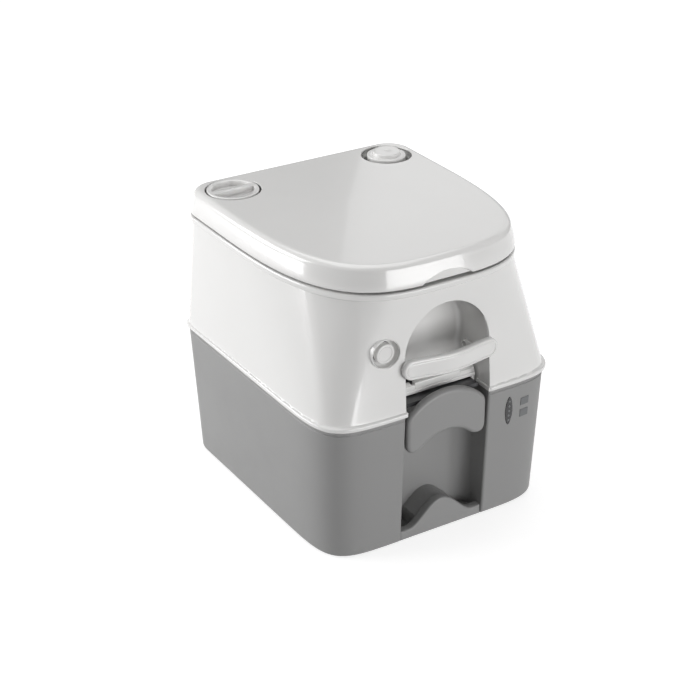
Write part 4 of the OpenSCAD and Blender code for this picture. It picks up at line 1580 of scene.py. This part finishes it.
@dataclass
class SeatAndLid:
    """The hinged seat ring and the boxy lid over it."""

    datum: Datum
    crown: float = 1.6 * MM
    roll: float = 9 * MM

    @property
    def outline(self) -> BoxOutline:
        """Outline of the lid's skirt edge."""
        datum = self.datum
        return BoxOutline(datum.half_width - datum.rim_inset, datum.front + datum.rim_setback + 0.5 * MM,
                          datum.front + 279 * MM, datum.back - 2.5 * MM, datum.squareness_rim,
                          datum.rear_radius_rim)

    def lid_section(self) -> Profile:
        """Inset and height above the skirt edge of the lid's outer face, in metres."""
        height = self.datum.top_z - (self.datum.hinge.z + 1 * MM)
        lean = 4.6 * MM
        section = [(0.9 * MM, 0.0), (0.35 * MM, 0.2 * MM), (0.05 * MM, 0.8 * MM), (0.0, 1.6 * MM)]
        shoulder = height - self.roll
        section += [(lean * (i / 9) ** 1.25, 1.6 * MM + (shoulder - 1.6 * MM) * i / 9) for i in range(1, 10)]
        for a in range(9, 91, 9):
            t = math.radians(a)
            section.append((lean + self.roll * 1.05 * (1 - math.cos(t)),
                            shoulder + (self.roll - self.crown) * math.sin(t)))
        return section

    def lid_rings(self, inward: float) -> list[Ring]:
        """Rings of the lid's face, from the skirt edge to the middle of the top.

        Args:
            inward: Distance inside the outer face.

        Returns:
            The rings.
        """
        base = self.datum.hinge.z + 1 * MM
        section = self.lid_section()
        drops = [inward if rise > 5 * MM else 0.0 for _, rise in section]
        rings = [self.outline.ring(inset + inward, base + max(0.0, rise - drop))
                 for (inset, rise), drop in zip(section, drops)]
        edge = rings[-1]
        centre = Vector((0.0, self.datum.front + 180 * MM, 0.0))
        level = edge[0].z
        for share in (0.97, 0.93, 0.88, 0.82, 0.75, 0.66, 0.56, 0.45, 0.34, 0.23, 0.12, 0.03):
            rings.append(drawn_in(edge, centre, share, level + self.crown * (1 - share * share)))
        return rings

    def lid_skin(self, name: str, wall: float) -> Piece:
        """The lid as a closed thin shell."""
        inner = self.lid_rings(wall)
        outer = self.lid_rings(0.0)
        loft = RingLoft(inner[-1]).grow(*reversed(inner[:-1]), *outer)
        return loft.cap().object(name)

    def hole_cutter(self, centre: Vector, radius: float, lip: float) -> Piece:
        """A round cutter through the lid's top with a rounded upper edge."""
        level = self.datum.top_z - self.crown * 0.55
        profile = [(0.0, 12 * MM)]
        profile += [(radius + out, -down) for out, down in lip_curve(lip)]
        profile = [(0.0, profile[1][1])] + profile[1:] + [(radius, -14 * MM), (0.0, -14 * MM)]
        return turned("hole_cutter", profile, Vector((centre.x, centre.y, level)), Vector((0, 0, 1)), 128)

    def scoop_cutter(self) -> Piece:
        """The shallow arc that fingers lift the lid by."""
        half, rise = 34 * MM, 12 * MM
        radius = (half * half + rise * rise) / (2 * rise)
        base = self.datum.hinge.z + 1 * MM
        face = self.datum.front + self.datum.rim_setback + 1.2 * MM
        profile = [(radius + out, down) for out, down in lip_curve(2.0 * MM)]
        profile = [(0.0, profile[0][1])] + profile + [(radius, 20 * MM), (0.0, 20 * MM)]
        return turned("scoop_cutter", profile, Vector((0, face, base + rise - radius)), Vector((0, 1, 0)),
                      180)

    def build(self, book: FinishBook) -> None:
        """Make the lid and the seat."""
        self.build_lid(book)
        self.build_seat(book)

    def build_lid(self, book: FinishBook) -> None:
        """The lid with its two holes and its finger scoop."""
        datum = self.datum
        lid, face = self.lid_skin("lid_body", datum.wall), self.lid_skin("lid_face", datum.wall)
        notches = []
        for side in (-1, 1):
            x0, x1 = sorted((side * 47 * MM, side * 60.2 * MM))
            notches.append(block("notch_cutter", Vector((x0, datum.hinge.y - 20 * MM,
                                                         datum.hinge.z - 2 * MM)),
                                 Vector((x1, datum.hinge.y - 2 * MM, datum.hinge.z + 7.5 * MM)), 1 * MM))
        carve(lid, self.hole_cutter(datum.filler, 35.2 * MM, 1.6 * MM),
              self.hole_cutter(datum.pump, 33 * MM, 2.0 * MM),
              self.scoop_cutter(), *notches)
        smooth_like(lid, face)
        lugs = hinge_leaf(datum, [(60.5, 71.5)], datum.hinge.z + 1.6 * MM, datum.hinge.z + 4.6 * MM, 7.4 * MM)
        collar = self.pump_collar()
        lid.name = lid.data.name = "lid_shell"
        hull_ride(lid, "lid", Slot.WHITE, book, "lid")
        for index, lug in enumerate(lugs):
            lug.name = f"lid_hinge_{index}"
        collar.name = "lid_pump_well"
        for piece in [*lugs, collar, self.scoop_wall()]:
            hull_ride(piece, "lid", Slot.WHITE, book)

    def scoop_wall(self) -> Piece:
        """The set-back wall that closes the finger scoop."""
        datum = self.datum
        base = datum.hinge.z + 1 * MM
        near = datum.front + datum.rim_setback + 4.2 * MM
        return block("lid_scoop_wall", Vector((-38 * MM, near, base + 0.4 * MM)),
                     Vector((38 * MM, near + 2.4 * MM, base + 15 * MM)), 0.6 * MM)

    def pump_collar(self) -> Piece:
        """The short wall that hangs round the pump hole under the lid."""
        datum = self.datum
        top = datum.top_z - datum.wall - 0.4 * MM
        inner, outer = 33.05 * MM, 34.6 * MM
        profile = [(inner, 0.0), (inner, -9 * MM), (outer, -9 * MM), (outer, 0.0), (inner, 0.0)]
        return turned("pump_well", profile, Vector((datum.pump.x, datum.pump.y, top)), Vector((0, 0, 1)), 96)

    def seat_ring(self, inset: float, z: float) -> Ring:
        """Ring of the seat's outer edge.

        Args:
            inset: Distance inside the edge.
            z: Height.

        Returns:
            The ring.
        """
        datum = self.datum
        tongue, corner, steps = 74.7 * MM, 12 * MM, 10
        back = datum.hinge.y - 32 * MM
        waist = datum.filler.y - 27 * MM
        shoulder, front = datum.front + 214 * MM, datum.front + 24 * MM
        half = datum.half_width - datum.rim_inset - 16 * MM
        points: Ring = []
        for side, start in ((1, 0.0), (-1, 90.0)):
            for step in range(steps + 1):
                a = math.radians(start + 90.0 * step / steps)
                points.append(Vector((side * (tongue - corner) + (corner - inset) * math.cos(a),
                                      back + (corner - inset) * math.sin(a), z)))
        lead = 10
        turn = Vector((-half + inset, shoulder, z))
        knee = Vector((-tongue + inset, waist, z))
        points += [ease(points[-1], knee, turn, (i + 1) / (lead + 1)) for i in range(lead)]
        for step in range(121):
            a = math.radians(180.0 + 180.0 * step / 120)
            c, s, n = math.cos(a), math.sin(a), 2.8
            reach = (abs(c) ** n + abs(s) ** n) ** (-1.0 / n)
            points.append(Vector(((half - inset) * c * reach,
                                  shoulder + (shoulder - front - inset) * s * reach, z)))
        end = Vector((tongue - inset, waist, z))
        points += [ease(points[-1], end, points[0], (i + 1) / (lead + 1)) for i in range(lead)]
        return points

    def build_seat(self, book: FinishBook) -> None:
        """The seat ring: rounded outside, dished towards the hole."""
        datum = self.datum
        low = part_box("seat_bumpers")[1].z
        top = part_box("seat")[1].z
        thick = top - low
        hole_x, hole_y = 92 * MM, 94 * MM
        section = [(3.0, 0.0), (1.0, 0.5), (0.0, 2.0), (0.0, thick / MM - 6.5), (0.6, thick / MM - 4.0),
                   (2.2, thick / MM - 2.0),
                   (5.0, thick / MM - 0.6), (9.0, thick / MM)]
        rings = [self.seat_ring(inset * MM, low + rise * MM) for inset, rise in section]
        outer = rings[-1]
        inner_section = [(10.0, thick / MM - 0.8), (5.0, thick / MM - 2.2), (1.8, thick / MM - 4.4),
                         (0.2, thick / MM - 7.5), (0.0, 5.0),
                         (0.8, 2.0), (3.0, 0.0)]
        first = aimed(outer, datum.bowl.y, hole_x + 10 * MM, hole_y + 10 * MM, top - 0.8 * MM)
        rings += [between(outer, first, share) for share in (0.3, 0.6, 0.85)]
        for inset, rise in inner_section:
            rings.append(aimed(outer, datum.bowl.y, hole_x + inset * MM, hole_y + inset * MM,
                               low + rise * MM))
        seat = RingLoft(rings[0]).grow(*rings[1:]).close().object("seat_ring")
        lugs = hinge_leaf(datum, [(48.5, 59.5)], datum.hinge.z + 1.4 * MM, datum.hinge.z + 4.8 * MM, 30 * MM)
        seat = gather("seat_ring", seat, *lugs)
        hull_ride(seat, "seat", Slot.WHITE, book, "seat")


def ease(start: Vector, knee: Vector, end: Vector, share: float) -> Vector:
    """A point on the curve that leaves a start, bends at a knee and reaches an end."""
    return start.lerp(knee, share).lerp(knee.lerp(end, share), share)


@dataclass
class CarryHandle:
    """The bowed white strap with its racetrack groove and two flat arms."""

    datum: Datum
    thickness: float = 9 * MM
    bow: float = 8 * MM
    groove_in: float = 3.4 * MM
    groove_deep: float = 0.8 * MM

    def build(self, book: FinishBook) -> None:
        """Make the strap and the arms."""
        low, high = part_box("carry_handle")
        radius = 12.5 * MM
        reach = high.x - radius
        height = high.z - radius
        face = low.y + self.bow
        steps_end, steps_side = 18, 26

        def outline(inset: float) -> Profile:
            r = radius - inset
            right = [(reach + r * math.cos(a), r * math.sin(a))
                     for a in (math.radians(-90 + 180 * i / steps_end) for i in range(steps_end + 1))]
            top = [(reach - 2 * reach * i / steps_side, r) for i in range(1, steps_side)]
            left = [(-x, -z) for x, z in right]
            bottom = [(-x, -z) for x, z in top]
            return right + top + left + bottom

        def ring(inset: float, depth: float) -> Ring:
            points: Ring = []
            for x, z in outline(inset):
                share = min(1.0, abs(x) / (high.x - 4 * MM))
                bend = self.bow * (1 + math.cos(math.pi * share)) / 2
                points.append(Vector((x, face - bend + depth, height + z)))
            return points

        soft = 2.4 * MM
        back = [(soft * (1 - math.sin(a)), self.thickness - soft * (1 - math.cos(a)))
                for a in (math.radians(18 * i) for i in range(6))]
        front = [(soft * (1 - math.cos(a)), soft * (1 - math.sin(a)))
                 for a in (math.radians(18 * i) for i in range(6))]
        lip = self.groove_in
        groove = [(lip - 0.5 * MM, 0.0), (lip - 0.15 * MM, self.groove_deep * 0.5), (lip, self.groove_deep),
                  (lip + 0.5 * MM, self.groove_deep), (lip + 0.8 * MM, self.groove_deep * 0.5),
                  (lip + 1.3 * MM, 0.1 * MM)]
        steps = [(7 * MM, self.thickness)] + back + front + groove + [(6.5 * MM, 0.1 * MM),
                                                                      (9 * MM, 0.1 * MM), (radius, 0.1 * MM)]
        loft = RingLoft(ring(radius, self.thickness)).grow(*[ring(inset, depth) for inset, depth in steps])
        bmesh.ops.remove_doubles(loft.bm, verts=loft.bm.verts[:], dist=1e-6)
        strap = loft.object("carry_strap")
        arms = [self.arm(side, low) for side in (-1, 1)]
        strap = gather("carry_strap", strap, *arms)
        hull_ride(strap, "carry_handle", Slot.WHITE, book, "carry_handle")

    def arm(self, side: int, low: Vector) -> Piece:
        """One flat arm with the slot that its peg runs in."""
        peg = middle("handle_pegs")
        half = 6.5 * MM
        pull = 16 * MM
        centre_y, centre_z = peg.y, peg.z
        end = centre_y + pull
        root = low.y + self.bow + 5 * MM
        outline = [(root, half), (root, low.z + 1.4 * MM + half - centre_z), (centre_y - 5 * MM, -half)]
        outline += [(end + half * math.sin(a), -half * math.cos(a))
                    for a in (math.radians(15 * i) for i in range(13))]
        x0, x1 = sorted((side * 52 * MM, side * 56 * MM))
        plate = prism("handle_arm", outline, x0, x1,
                      lambda u, v, d: Vector((d, u, centre_z + v)), 0.6 * MM, 2)
        slot = [(centre_y - (v - 8 * MM), u) for u, v in pill(4.1 * MM, 4.1 * MM + pull / 2)]
        cutter = prism("slot_cutter", slot, x0 - 1 * MM, x1 + 1 * MM,
                       lambda u, v, d: Vector((d, u, centre_z + v)))
        carve(plate, cutter)
        return link_smooth(plate)


@dataclass
class SlideValve:
    """The crescent handle on the end of the valve blade."""

    datum: Datum
    soft: float = 5.5 * MM

    def build(self, book: FinishBook) -> None:
        """Make the crescent handle."""
        low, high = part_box("valve_handle")
        half = (high.x - low.x) / 2
        part = self.datum.part_z
        crown_r, arch_r = 74 * MM, 52 * MM
        arch_top = part - 36.5 * MM
        crown_z, arch_z = high.z - crown_r, arch_top - arch_r
        shoulder = crown_z + math.sqrt(crown_r ** 2 - half ** 2)
        steps = 40
        top = [(crown_r * math.sin(a), crown_z + crown_r * math.cos(a)) for a in
               (math.asin(half / crown_r) * (1 - 2 * i / steps) for i in range(steps + 1))]
        fall = math.sqrt(max(0.0, arch_r ** 2 - (low.z + 1 * MM - arch_z) ** 2))
        spread = math.atan2(fall, low.z + 1 * MM - arch_z)
        under = [(arch_r * math.sin(a), arch_z + arch_r * math.cos(a)) for a in
                 (spread * (-1 + 2 * i / steps) for i in range(steps + 1))]
        corner_left = round_corner((-half, shoulder), (-half, low.z), (under[0][0], low.z), 10 * MM)
        corner_right = [(-x, z) for x, z in reversed(corner_left)]
        outline = melt(top + corner_left + under + corner_right, 5 * MM)
        handle = prism("valve_grip", outline, low.y, high.y, lambda u, v, d: Vector((u, d, v)), self.soft, 8)
        hull_ride(handle, "slide_valve", Slot.GREY, book, "valve_handle")


def melt(outline: Sequence[tuple[float, float]], reach: float, spacing: float = 1.2 * MM) -> Profile:
    """Even out a closed outline and melt its corners.

    Args:
        outline: The outline's points.
        reach: How far to each side a point is averaged with the others.
        spacing: Distance between the new points.

    Returns:
        The softer outline.
    """
    corners = [Vector(p) for p in outline]
    spans = [(b - a).length for a, b in zip(corners, corners[1:] + corners[:1])]
    count = max(12, round(sum(spans) / spacing))
    even, index, passed = [], 0, 0.0
    for step in range(count):
        target = sum(spans) * step / count
        while passed + spans[index] < target:
            passed += spans[index]
            index += 1
        share = (target - passed) / max(spans[index], 1e-9)
        even.append(corners[index].lerp(corners[(index + 1) % len(corners)], share))
    wide = max(1, round(reach / spacing))
    for _ in range(2):
        even = [sum((even[(i + k) % count] for k in range(-wide, wide + 1)),
                    Vector((0.0, 0.0))) / (2 * wide + 1) for i in range(count)]
    return [(p.x, p.y) for p in even]


def round_corner(start: tuple[float, float], corner: tuple[float, float], end: tuple[float, float],
                 radius: float,
                 steps: int = 8) -> Profile:
    """Points of a rounded corner between two straight runs.

    Args:
        start: A point on the run before.
        corner: The sharp corner.
        end: A point on the run after.
        radius: How far from the corner the round starts.
        steps: Steps round it.

    Returns:
        The points.
    """
    a, b, c = Vector(start), Vector(corner), Vector(end)
    first = b + (a - b).normalized() * radius
    last = b + (c - b).normalized() * min(radius, (c - b).length)
    points = []
    for step in range(steps + 1):
        share = step / steps
        p = first.lerp(b, share).lerp(b.lerp(last, share), share)
        points.append((p.x, p.y))
    return points


@dataclass
class Fittings:
    """Caps, buttons, gauge and latch."""

    datum: Datum

    def build(self, book: FinishBook) -> None:
        """Make every small fitting."""
        self.build_filler_cap(book)
        self.build_pump_knob(book)
        self.build_flush_button(book)
        self.build_gauge(book)
        self.build_latch(book)

    def build_filler_cap(self, book: FinishBook) -> None:
        """The flush cap with two crescent finger pockets and a grip ridge between them."""
        low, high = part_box("filler_cap")
        centre = (low + high) / 2
        top = self.datum.top_z - 0.5 * MM
        radius = (high.x - low.x) / 2
        soft = 1.6 * MM
        depth = top - low.z
        edge = rounded_edge(radius, soft)
        well = 26.6 * MM
        ceiling = -depth + 10.5 * MM
        profile = [(0.0, 0.0)] + edge + [(radius, -depth + 0.8 * MM), (radius - 0.8 * MM, -depth),
                                         (well, -depth), (well, ceiling), (0.0, ceiling)]
        cap = turned("cap_body", profile, Vector((centre.x, centre.y, top)), Vector((0, 0, 1)), 128)
        for side in (-1, 1):
            carve(cap, self.pocket(centre, top, side))
        link_smooth(cap, 30.0)
        dot = turned("cap_dot", [(0, 0.9 * MM), (1.4 * MM, 0.8 * MM), (1.9 * MM, 0.4 * MM),
                                 (2.0 * MM, -0.5 * MM), (0, -0.5 * MM)],
                     Vector((centre.x, centre.y, top)), Vector((0, 0, 1)), 32)
        hull_ride(gather("filler_cap_top", cap, dot), "filler_cap", Slot.WHITE, book, "filler_cap")

    def pocket(self, centre: Vector, top: float, side: int) -> Piece:
        """One crescent pocket of the filler cap."""
        outer, half_ridge = 26.5 * MM, 5 * MM
        limit = math.asin(half_ridge / outer)
        arc = [(outer * math.cos(a), outer * math.sin(a))
               for a in (limit + (math.pi - 2 * limit) * i / 28 for i in range(29))]
        rims = [(1.2, 2.0), (0.35, 0.0), (-0.1, -0.9), (-0.5, -4.0), (-1.6, -6.6), (-4.5, -7.6)]
        loft_points = []
        for out, drop in rims:
            ring = []
            mid = Vector((0.0, outer * 0.45))
            for x, y in arc:
                p = Vector((x, y))
                away = (p - mid)
                ring.append(mid + away * (1 + out * MM / max(away.length, 1e-6)))
            loft_points.append([Vector((centre.x + p.x, centre.y + side * p.y, top + drop * MM))
                                for p in ring])
        return RingLoft(loft_points[0]).grow(*loft_points[1:]).cap().object("pocket_cutter")

    def build_pump_knob(self, book: FinishBook) -> None:
        """The two-step pump knob with a centre dimple."""
        low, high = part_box("pump_knob")
        centre = (low + high) / 2
        wide = (high.x - low.x) / 2
        narrow = wide - 7.5 * MM
        step_z = self.datum.top_z - 0.5 * MM - high.z
        depth = high.z - low.z
        soft = 1.5 * MM
        profile = [(0.0, -0.9 * MM), (1.2 * MM, -0.8 * MM), (1.9 * MM, -0.15 * MM), (2.6 * MM, 0.0)]
        profile += rounded_edge(narrow, soft)
        profile += [(narrow, step_z + 0.5 * MM), (narrow + 0.5 * MM, step_z)]
        profile += rounded_edge(wide, soft, step_z)
        profile += [(wide, -depth + 1.0 * MM), (wide - 1.0 * MM, -depth), (5.2 * MM, -depth),
                    (5.2 * MM, -depth + 8 * MM), (0.0, -depth + 8 * MM)]
        knob = turned("pump_knob_top", profile, Vector((centre.x, centre.y, high.z)), Vector((0, 0, 1)), 128)
        hull_ride(knob, "pump", Slot.WHITE, book, "pump_knob")

    def build_flush_button(self, book: FinishBook) -> None:
        """The dished bezel and the stepped button in it."""
        low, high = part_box("flush_bezel")
        centre = (low + high) / 2
        outer = (high.x - low.x) / 2
        bore = 12.55 * MM
        depth = high.y - low.y
        dish = [(outer - 0.9 * MM - (outer - 1.5 * MM - bore) * (1 - math.cos(a)), 8.5 * MM * math.sin(a))
                for a in
                (math.radians(9 * i) for i in range(11))]
        profile = [(outer, depth), (outer, 0.6 * MM),
                   (outer - 0.3 * MM, 0.1 * MM)] + dish + [(bore, 9.2 * MM), (bore, depth), (outer, depth)]
        bezel = turned("flush_well", profile, Vector((centre.x, low.y, centre.z)), Vector((0, 1, 0)), 96)
        hull_ride(bezel, "flush_tank", Slot.WHITE, book, "flush_bezel")
        face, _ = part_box("flush_button")
        radius = 12.5 * MM
        soft = 1.6 * MM
        rim = [(radius - 3.0 * MM, 0.0)] + rounded_edge(radius, soft, way=1.0)
        profile = [(0.0, 1.0 * MM), (radius - 5.0 * MM, 0.95 * MM), (radius - 4.0 * MM, 0.8 * MM),
                   (radius - 3.4 * MM, 0.25 * MM)] + rim
        back, tail = 6.8 * MM, 24 * MM
        profile += [(radius, back), (3 * MM, back), (3 * MM, tail), (0.0, tail)]
        button = turned("flush_push", profile, Vector((centre.x, face.y, centre.z)), Vector((0, 1, 0)), 96)
        hull_ride(button, "flush_button", Slot.WHITE, book, "flush_button")

    def build_gauge(self, book: FinishBook) -> None:
        """The dark level window with its column of dots."""
        low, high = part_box("gauge_window")
        centre = (low + high) / 2
        half, tall = 5.5 * MM, 19.5 * MM
        lean, inset = -0.0362, 1.3 * MM
        window = prism("level_window", lens(half, tall), 0.0, high.y - low.y,
                       lambda u, v, d: Vector((centre.x + u, low.y + (v + tall) * lean + inset + d,
                                               centre.z + v)), 0.7 * MM, 4)
        hull_ride(window, "waste_tank", Slot.GAUGE, book, "gauge_window")
        dots = []
        for index in range(5):
            rise = (index - 2) * 6.6 * MM
            spot = Vector((centre.x, low.y + (rise + tall) * lean + 1.25 * MM, centre.z + rise))
            dots.append(turned("dot", [(0.0, -0.25 * MM), (1.1 * MM, -0.2 * MM), (1.5 * MM, 0.0),
                                       (1.5 * MM, 0.4 * MM), (0.0, 0.4 * MM)],
                               spot, Vector((0, 1, 0)), 28))
        hull_ride(gather("level_dots", *dots), "waste_tank", Slot.PAD, book)

    def build_latch(self, book: FinishBook) -> None:
        """The latch plate with its barrels."""
        low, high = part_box("latch_lever")
        pin = middle("latch_pin")
        radius = 6 * MM
        top, thick = pin.z + 7 * MM, 4 * MM
        parts = [
            block("latch_plate", Vector((low.x + 2 * MM, low.y, pin.z - radius)),
                  Vector((high.x - 2 * MM, low.y + thick, top - 3 * MM)), 1.0 * MM),
            block("latch_band", Vector((low.x, low.y - 1.4 * MM, pin.z - radius - 0.5 * MM)),
                  Vector((high.x, low.y + thick - 0.5 * MM, pin.z - 1.6 * MM)), 0.9 * MM),
            block("latch_rise", Vector((-30 * MM, low.y - 0.6 * MM, pin.z - 2 * MM)),
                  Vector((36 * MM, low.y + thick + 3 * MM, top)), 1.1 * MM),
        ]
        for side in (-1, 1):
            x0, x1 = sorted((side * high.x, side * (high.x - 24 * MM)))
            soft = 0.9 * MM
            bore = 2.6 * MM
            profile = barrel_profile(bore, radius, x1 - x0, soft)
            parts.append(turned("latch_barrel", profile, Vector((x0, pin.y, pin.z)), Vector((1, 0, 0)), 48))
            leg0, leg1 = sorted((side * 53 * MM, side * high.x))
            parts.append(block("latch_leg", Vector((leg0, low.y, low.z)),
                               Vector((leg1, low.y + thick, pin.z)), 1.0 * MM))
        hull_ride(gather("latch_plate", *parts), "latch", Slot.WHITE, book, "latch_lever")


# --------------------------------------------------------------------------- studio


@dataclass
class Studio:
    """Floor, soft light and the camera."""

    azimuth: float = -32.0
    elevation: float = 27.44
    distance: float = 2.1677
    aim_side: float = -0.0208
    aim_height: float = 0.1722
    focal: float = 87.8
    surround: float = 0.2

    def build(self, centre_y: float) -> None:
        """Make the stage.

        Args:
            centre_y: Middle of the flush tank's depth.
        """
        self.build_floor()
        self.build_world()
        self.build_lights()
        self.build_camera(centre_y)

    def build_floor(self) -> None:
        """A wide pale floor."""
        bm = bmesh.new()
        bmesh.ops.create_grid(bm, x_segments=2, y_segments=2, size=9.0)
        floor = to_object(bm, "floor")
        material = bpy.data.materials.new("pale_floor")
        material.use_nodes = True
        shader = material.node_tree.nodes["Principled BSDF"]
        shader.inputs["Base Color"].default_value = (0.5, 0.5, 0.5, 1.0)
        shader.inputs["Roughness"].default_value = 0.9
        shader.inputs["Specular IOR Level"].default_value = 0.1
        shader.inputs["Emission Color"].default_value = (1.0, 1.0, 1.0, 1.0)
        shader.inputs["Emission Strength"].default_value = 0.74
        floor.data.materials.append(material)
        floor.visible_diffuse = False

    def build_world(self) -> None:
        """Even pale surroundings."""
        world = bpy.data.worlds.new("studio")
        bpy.context.scene.world = world
        world.use_nodes = True
        back = world.node_tree.nodes["Background"]
        back.inputs["Color"].default_value = (1.0, 1.0, 1.0, 1.0)
        back.inputs["Strength"].default_value = self.surround

    def build_lights(self) -> None:
        """Soft boxes: left and behind, front right, above, and a tall panel that the lid mirrors."""
        target = Vector((0.0, 0.0, 0.2))
        boxes = [
            ("left_box", Vector((-0.80, 0.55, 0.22)), 3.2, 2.2, 2.0, 0.96),
            ("front_box", Vector((0.22, -0.97, 0.05)), 3.0, 2.2, 1.8, 0.78),
            ("top_box", Vector((0.1, 0.25, 1.0)), 2.6, 2.4, 2.4, 0.5),
            ("mirror_panel", Vector((0.95, 0.81, 0.56)), 3.4, 2.0, 1.6, 0.06),
        ]
        for name, bearing, distance, width, height, level in boxes:
            light = bpy.data.lights.new(name, "AREA")
            light.shape = "RECTANGLE"
            light.size = width
            light.size_y = height
            light.energy = level * (math.pi * distance) ** 2
            lamp = bpy.data.objects.new(name, light)
            lamp.location = target + bearing.normalized() * distance
            lamp.rotation_euler = (target - lamp.location).to_track_quat("-Z", "Y").to_euler()
            bpy.context.scene.collection.objects.link(lamp)

    def build_camera(self, centre_y: float) -> None:
        """The camera at the product's three-quarter view."""
        a, e = math.radians(self.azimuth), math.radians(self.elevation)
        back = Vector((math.sin(a) * math.cos(e), -math.cos(a) * math.cos(e), math.sin(e)))
        right = (-back).cross(Vector((0, 0, 1))).normalized()
        eye = right * self.aim_side + Vector((0, centre_y, self.aim_height)) + back * self.distance
        lens = bpy.data.cameras.new("camera")
        lens.lens = self.focal
        lens.sensor_width = 36.0
        lens.clip_start = 0.05
        camera = bpy.data.objects.new("camera", lens)
        camera.location = eye
        camera.rotation_euler = (-back).to_track_quat("-Z", "Y").to_euler()
        bpy.context.scene.collection.objects.link(camera)
        bpy.context.scene.camera = camera
        bpy.context.scene.view_settings.view_transform = "Standard"


def dress_frame(book: FinishBook, frame: dict) -> None:
    """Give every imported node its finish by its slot.

    Args:
        book: The finishes.
        frame: The loaded frame.
    """
    for entry in frame["record"]["subparts"]:
        node = frame["nodes"][entry["node"]]
        book.dress(node, Slot(entry["material_slot"]))
        node.data.shade_smooth()
        node.data.set_sharp_from_angle(angle=math.radians(35))


def main() -> None:
    """Build the object's looks round the frame."""
    logging.basicConfig(level=logging.INFO, format="%(name)s: %(message)s")
    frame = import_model()
    book = FinishBook()
    dress_frame(book, frame)
    datum = Datum()
    for assembly in (WasteTank(datum), FlushTank(datum), SeatAndLid(datum), CarryHandle(datum),
                     SlideValve(datum), Fittings(datum)):
        assembly.build(book)
    Studio().build((datum.front + datum.back) / 2)


if __name__ == "__main__":
    main()
